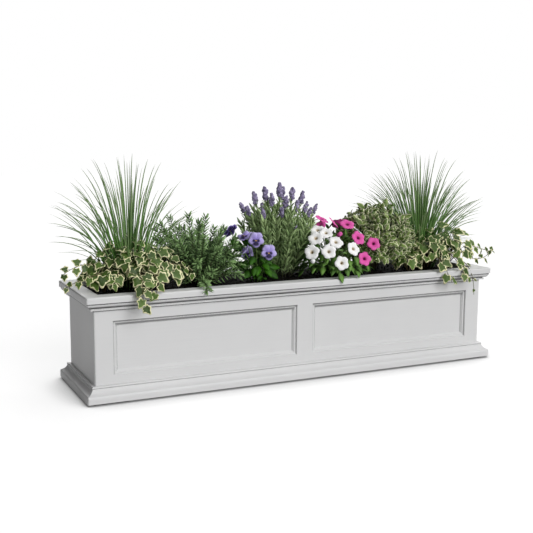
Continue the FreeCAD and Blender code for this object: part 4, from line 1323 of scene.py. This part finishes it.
def ivy_mound(leaves, stems, mound, rng):
    """Leaves shingled over a mound, each on its own stalk."""
    spot = np.array([mound.x, mound.y, soil_top])
    for index, turn, tilt in dome(mound.leaves, 90):
        turn += rng.uniform(-0.25, 0.25)
        tilt += rng.uniform(-0.08, 0.08)
        inner = index % 4 == 0
        depth = rng.uniform(0.55, 0.75) if inner else rng.uniform(0.82, 1.04)
        base = mound_spot(spot, (mound.spread * depth, mound.wide, mound.top * depth), turn, tilt)
        outward = leaning(turn, tilt)
        axis = leaning(turn, tilt + math.pi / 2) + 0.25 * outward + rng.uniform(-0.55, 0.55, 3)
        upper = outward + 0.2 * upward + 0.7 * frontward + rng.uniform(-0.35, 0.35, 3)
        form = ivy_forms[rng.integers(len(ivy_forms))]
        # Inner leaves take the darkest green: painted shade inside the mound
        tint = 0.0 if inner else rng.uniform(0, 1)
        if leaves.add(form, tint, facing(axis, upper), base, rng.uniform(0.66, 1.0)):
            shade = rng.uniform(0, 1)
            add_stalk(stems, spot, base, aside=0.5, rise=0.8, radii=ivy_stalk, tint=shade, sides=4)


def ivy_runner(leaves, stems, runner, rng):
    """Runner with leaves on alternate sides, hanging as it goes down."""
    start, bend, end = (np.array(point) for point in runner[:3])
    path = arch(start, bend, end, 14)
    stems.add(stem_form(path, runner_stem), rng.uniform(0, 1))
    for index in range(runner.leaves):
        share = 0.25 + 0.75 * (index + 0.5) / runner.leaves
        spot, step = along_path(path, share)
        away = unit(spot - np.array([start[0], start[1] + runner_back, spot[2] - runner_below]))
        side = unit(np.cross(step, away)) * (1 if index % 2 else -1)
        axis = 0.55 * step + 0.75 * side - 0.35 * upward + rng.uniform(-0.3, 0.3, 3)
        upper = 0.6 * away + 0.5 * upward + 0.6 * compass(0) + rng.uniform(-0.4, 0.4, 3)
        size = runner.size * (1.05 - 0.4 * share) * rng.uniform(0.85, 1.0)
        stalk_end = spot + unit(axis) * runner_stalk_length * size + unit(upper) * runner_leaf_lift
        stalk = np.array([spot, (spot + stalk_end) / 2 + upward * runner_stalk_bow, stalk_end])
        stems.add(stem_form(stalk, runner_stalk, 4), 0.8)
        form = ivy_forms[rng.integers(len(ivy_forms))]
        leaves.add(form, rng.uniform(0, 1), facing(axis, upper), stalk_end, size)


ivy_leaf = margined_leaf(
    "ivy_leaf", dark=tone(20, 42, 8), light=tone(112, 144, 62), margin=tone(244, 240, 192),
    width=0.04, ragged=0.85, scale=75.0, roughness=0.42,
)
ivy_wood = woody_stem("ivy_runner", young=tone(110, 112, 66), old=tone(104, 82, 58))
for plant, mounds, runners, seed in (
    ("ivy_left", left_mounds, left_runners, 41), ("ivy_right", right_mounds, right_runners, 43)
):
    rng = np.random.default_rng(seed)
    leaves, stems = Growth(in_rim), Growth()
    for mound in mounds:
        ivy_mound(leaves, stems, mound, rng)
    for runner in runners:
        ivy_runner(leaves, stems, runner, rng)
    stand_for(plant, "ivy", (plant + "_leaves", leaves, ivy_leaf), (plant + "_stems", stems, ivy_wood))


# Studio: a pale floor that runs out to white, with a painted contact shadow round the box, a broad key lamp
# in front, lamps at the right, overhead and behind the box, a weak even fill, and the camera at the height
# and side from which the box is seen.

floor_half = 12.0
floor_lift = 0.70
contact_reach = 0.15
floor_mesh = bpy.data.meshes.new("floor")
floor_corners = [(x * floor_half, y * floor_half, 0) for x, y in ((-1, -1), (1, -1), (1, 1), (-1, 1))]
floor_mesh.from_pydata(floor_corners, [], [(0, 1, 2, 3)])
floor = bpy.data.objects.new("floor", floor_mesh)
bpy.context.scene.collection.objects.link(floor)
floor_paper, tree = start_material("floor_paper")
finish_material(floor_paper, tone(180, 180, 180), 0.9, specular=0.0)
rays = add_node(tree, "LightPath")
seen = calculate(tree, "MAXIMUM", rays["Is Camera Ray"], rays["Is Glossy Ray"])
seen = calculate(tree, "MAXIMUM", seen, rays["Is Transmission Ray"])
# Painted contact shadow: the floor's glow dims where the box and plants close it in
opening = add_node(tree, "AmbientOcclusion", {"Distance": contact_reach}, samples=8)["AO"]
painted_contact_shadow = ranged(tree, opening, (0.42, 0.86), (0.1, 1.0))
lifted = calculate(tree, "MULTIPLY", calculate(tree, "MULTIPLY", seen, floor_lift), painted_contact_shadow)
glow = add_node(tree, "Emission", {"Strength": lifted})["Emission"]
both = add_node(tree, "AddShader", {0: tree.nodes["Principled BSDF"].outputs["BSDF"], 1: glow})["Shader"]
feed(tree, tree.nodes["Material Output"].inputs["Surface"], both)
floor_mesh.materials.append(floor_paper)

fill_strength = 0.03
world = bpy.data.worlds.new("studio")
bpy.context.scene.world = world
world.use_nodes = True
tree = world.node_tree
sky = tree.nodes["Background"].inputs
sky["Color"].default_value = (1.0, 1.0, 1.0, 1.0)
rays = add_node(tree, "LightPath")
white_out = calculate(tree, "MAXIMUM", rays["Is Camera Ray"], rays["Is Transmission Ray"])
feed(tree, sky["Strength"], ranged(tree, white_out, (0.0, 1.0), (fill_strength, 1.0)))


def sun(name, strength, spread, elevation, turn):
    """Distant lamp at an elevation, at a turn from the front to the right, with a soft spread."""
    lamp = bpy.data.lights.new(name, "SUN")
    lamp.energy = strength
    lamp.angle = math.radians(spread)
    made = bpy.data.objects.new(name, lamp)
    made.rotation_euler = (math.radians(90 - elevation), 0.0, math.radians(turn))
    bpy.context.scene.collection.objects.link(made)


sun("key", strength=2.20, spread=44, elevation=24, turn=14)
sun("side", strength=1.0, spread=60, elevation=56, turn=100)
sun("top", strength=0.30, spread=110, elevation=90, turn=0)
sun("rear", strength=1.0, spread=50, elevation=12, turn=158)

photo_side = 533
lens_pixels = 892.3
middle_pixel = (238.7, 263.0)
camera_spot = (-1.133, -2.226, 0.666)
camera_tilt = math.radians(81.69)
camera_turn = math.radians(-24.01)
camera_data = bpy.data.cameras.new("camera")
camera_data.sensor_width = 36.0
camera_data.lens = lens_pixels * camera_data.sensor_width / photo_side
camera_data.shift_x = 0.5 - middle_pixel[0] / photo_side
camera_data.shift_y = middle_pixel[1] / photo_side - 0.5
camera_data.clip_end = 60.0
camera = bpy.data.objects.new("camera", camera_data)
camera.location = camera_spot
camera.rotation_euler = (camera_tilt, 0.0, camera_turn)
bpy.context.scene.collection.objects.link(camera)
bpy.context.scene.camera = camera
bpy.context.scene.view_settings.view_transform = "Standard"
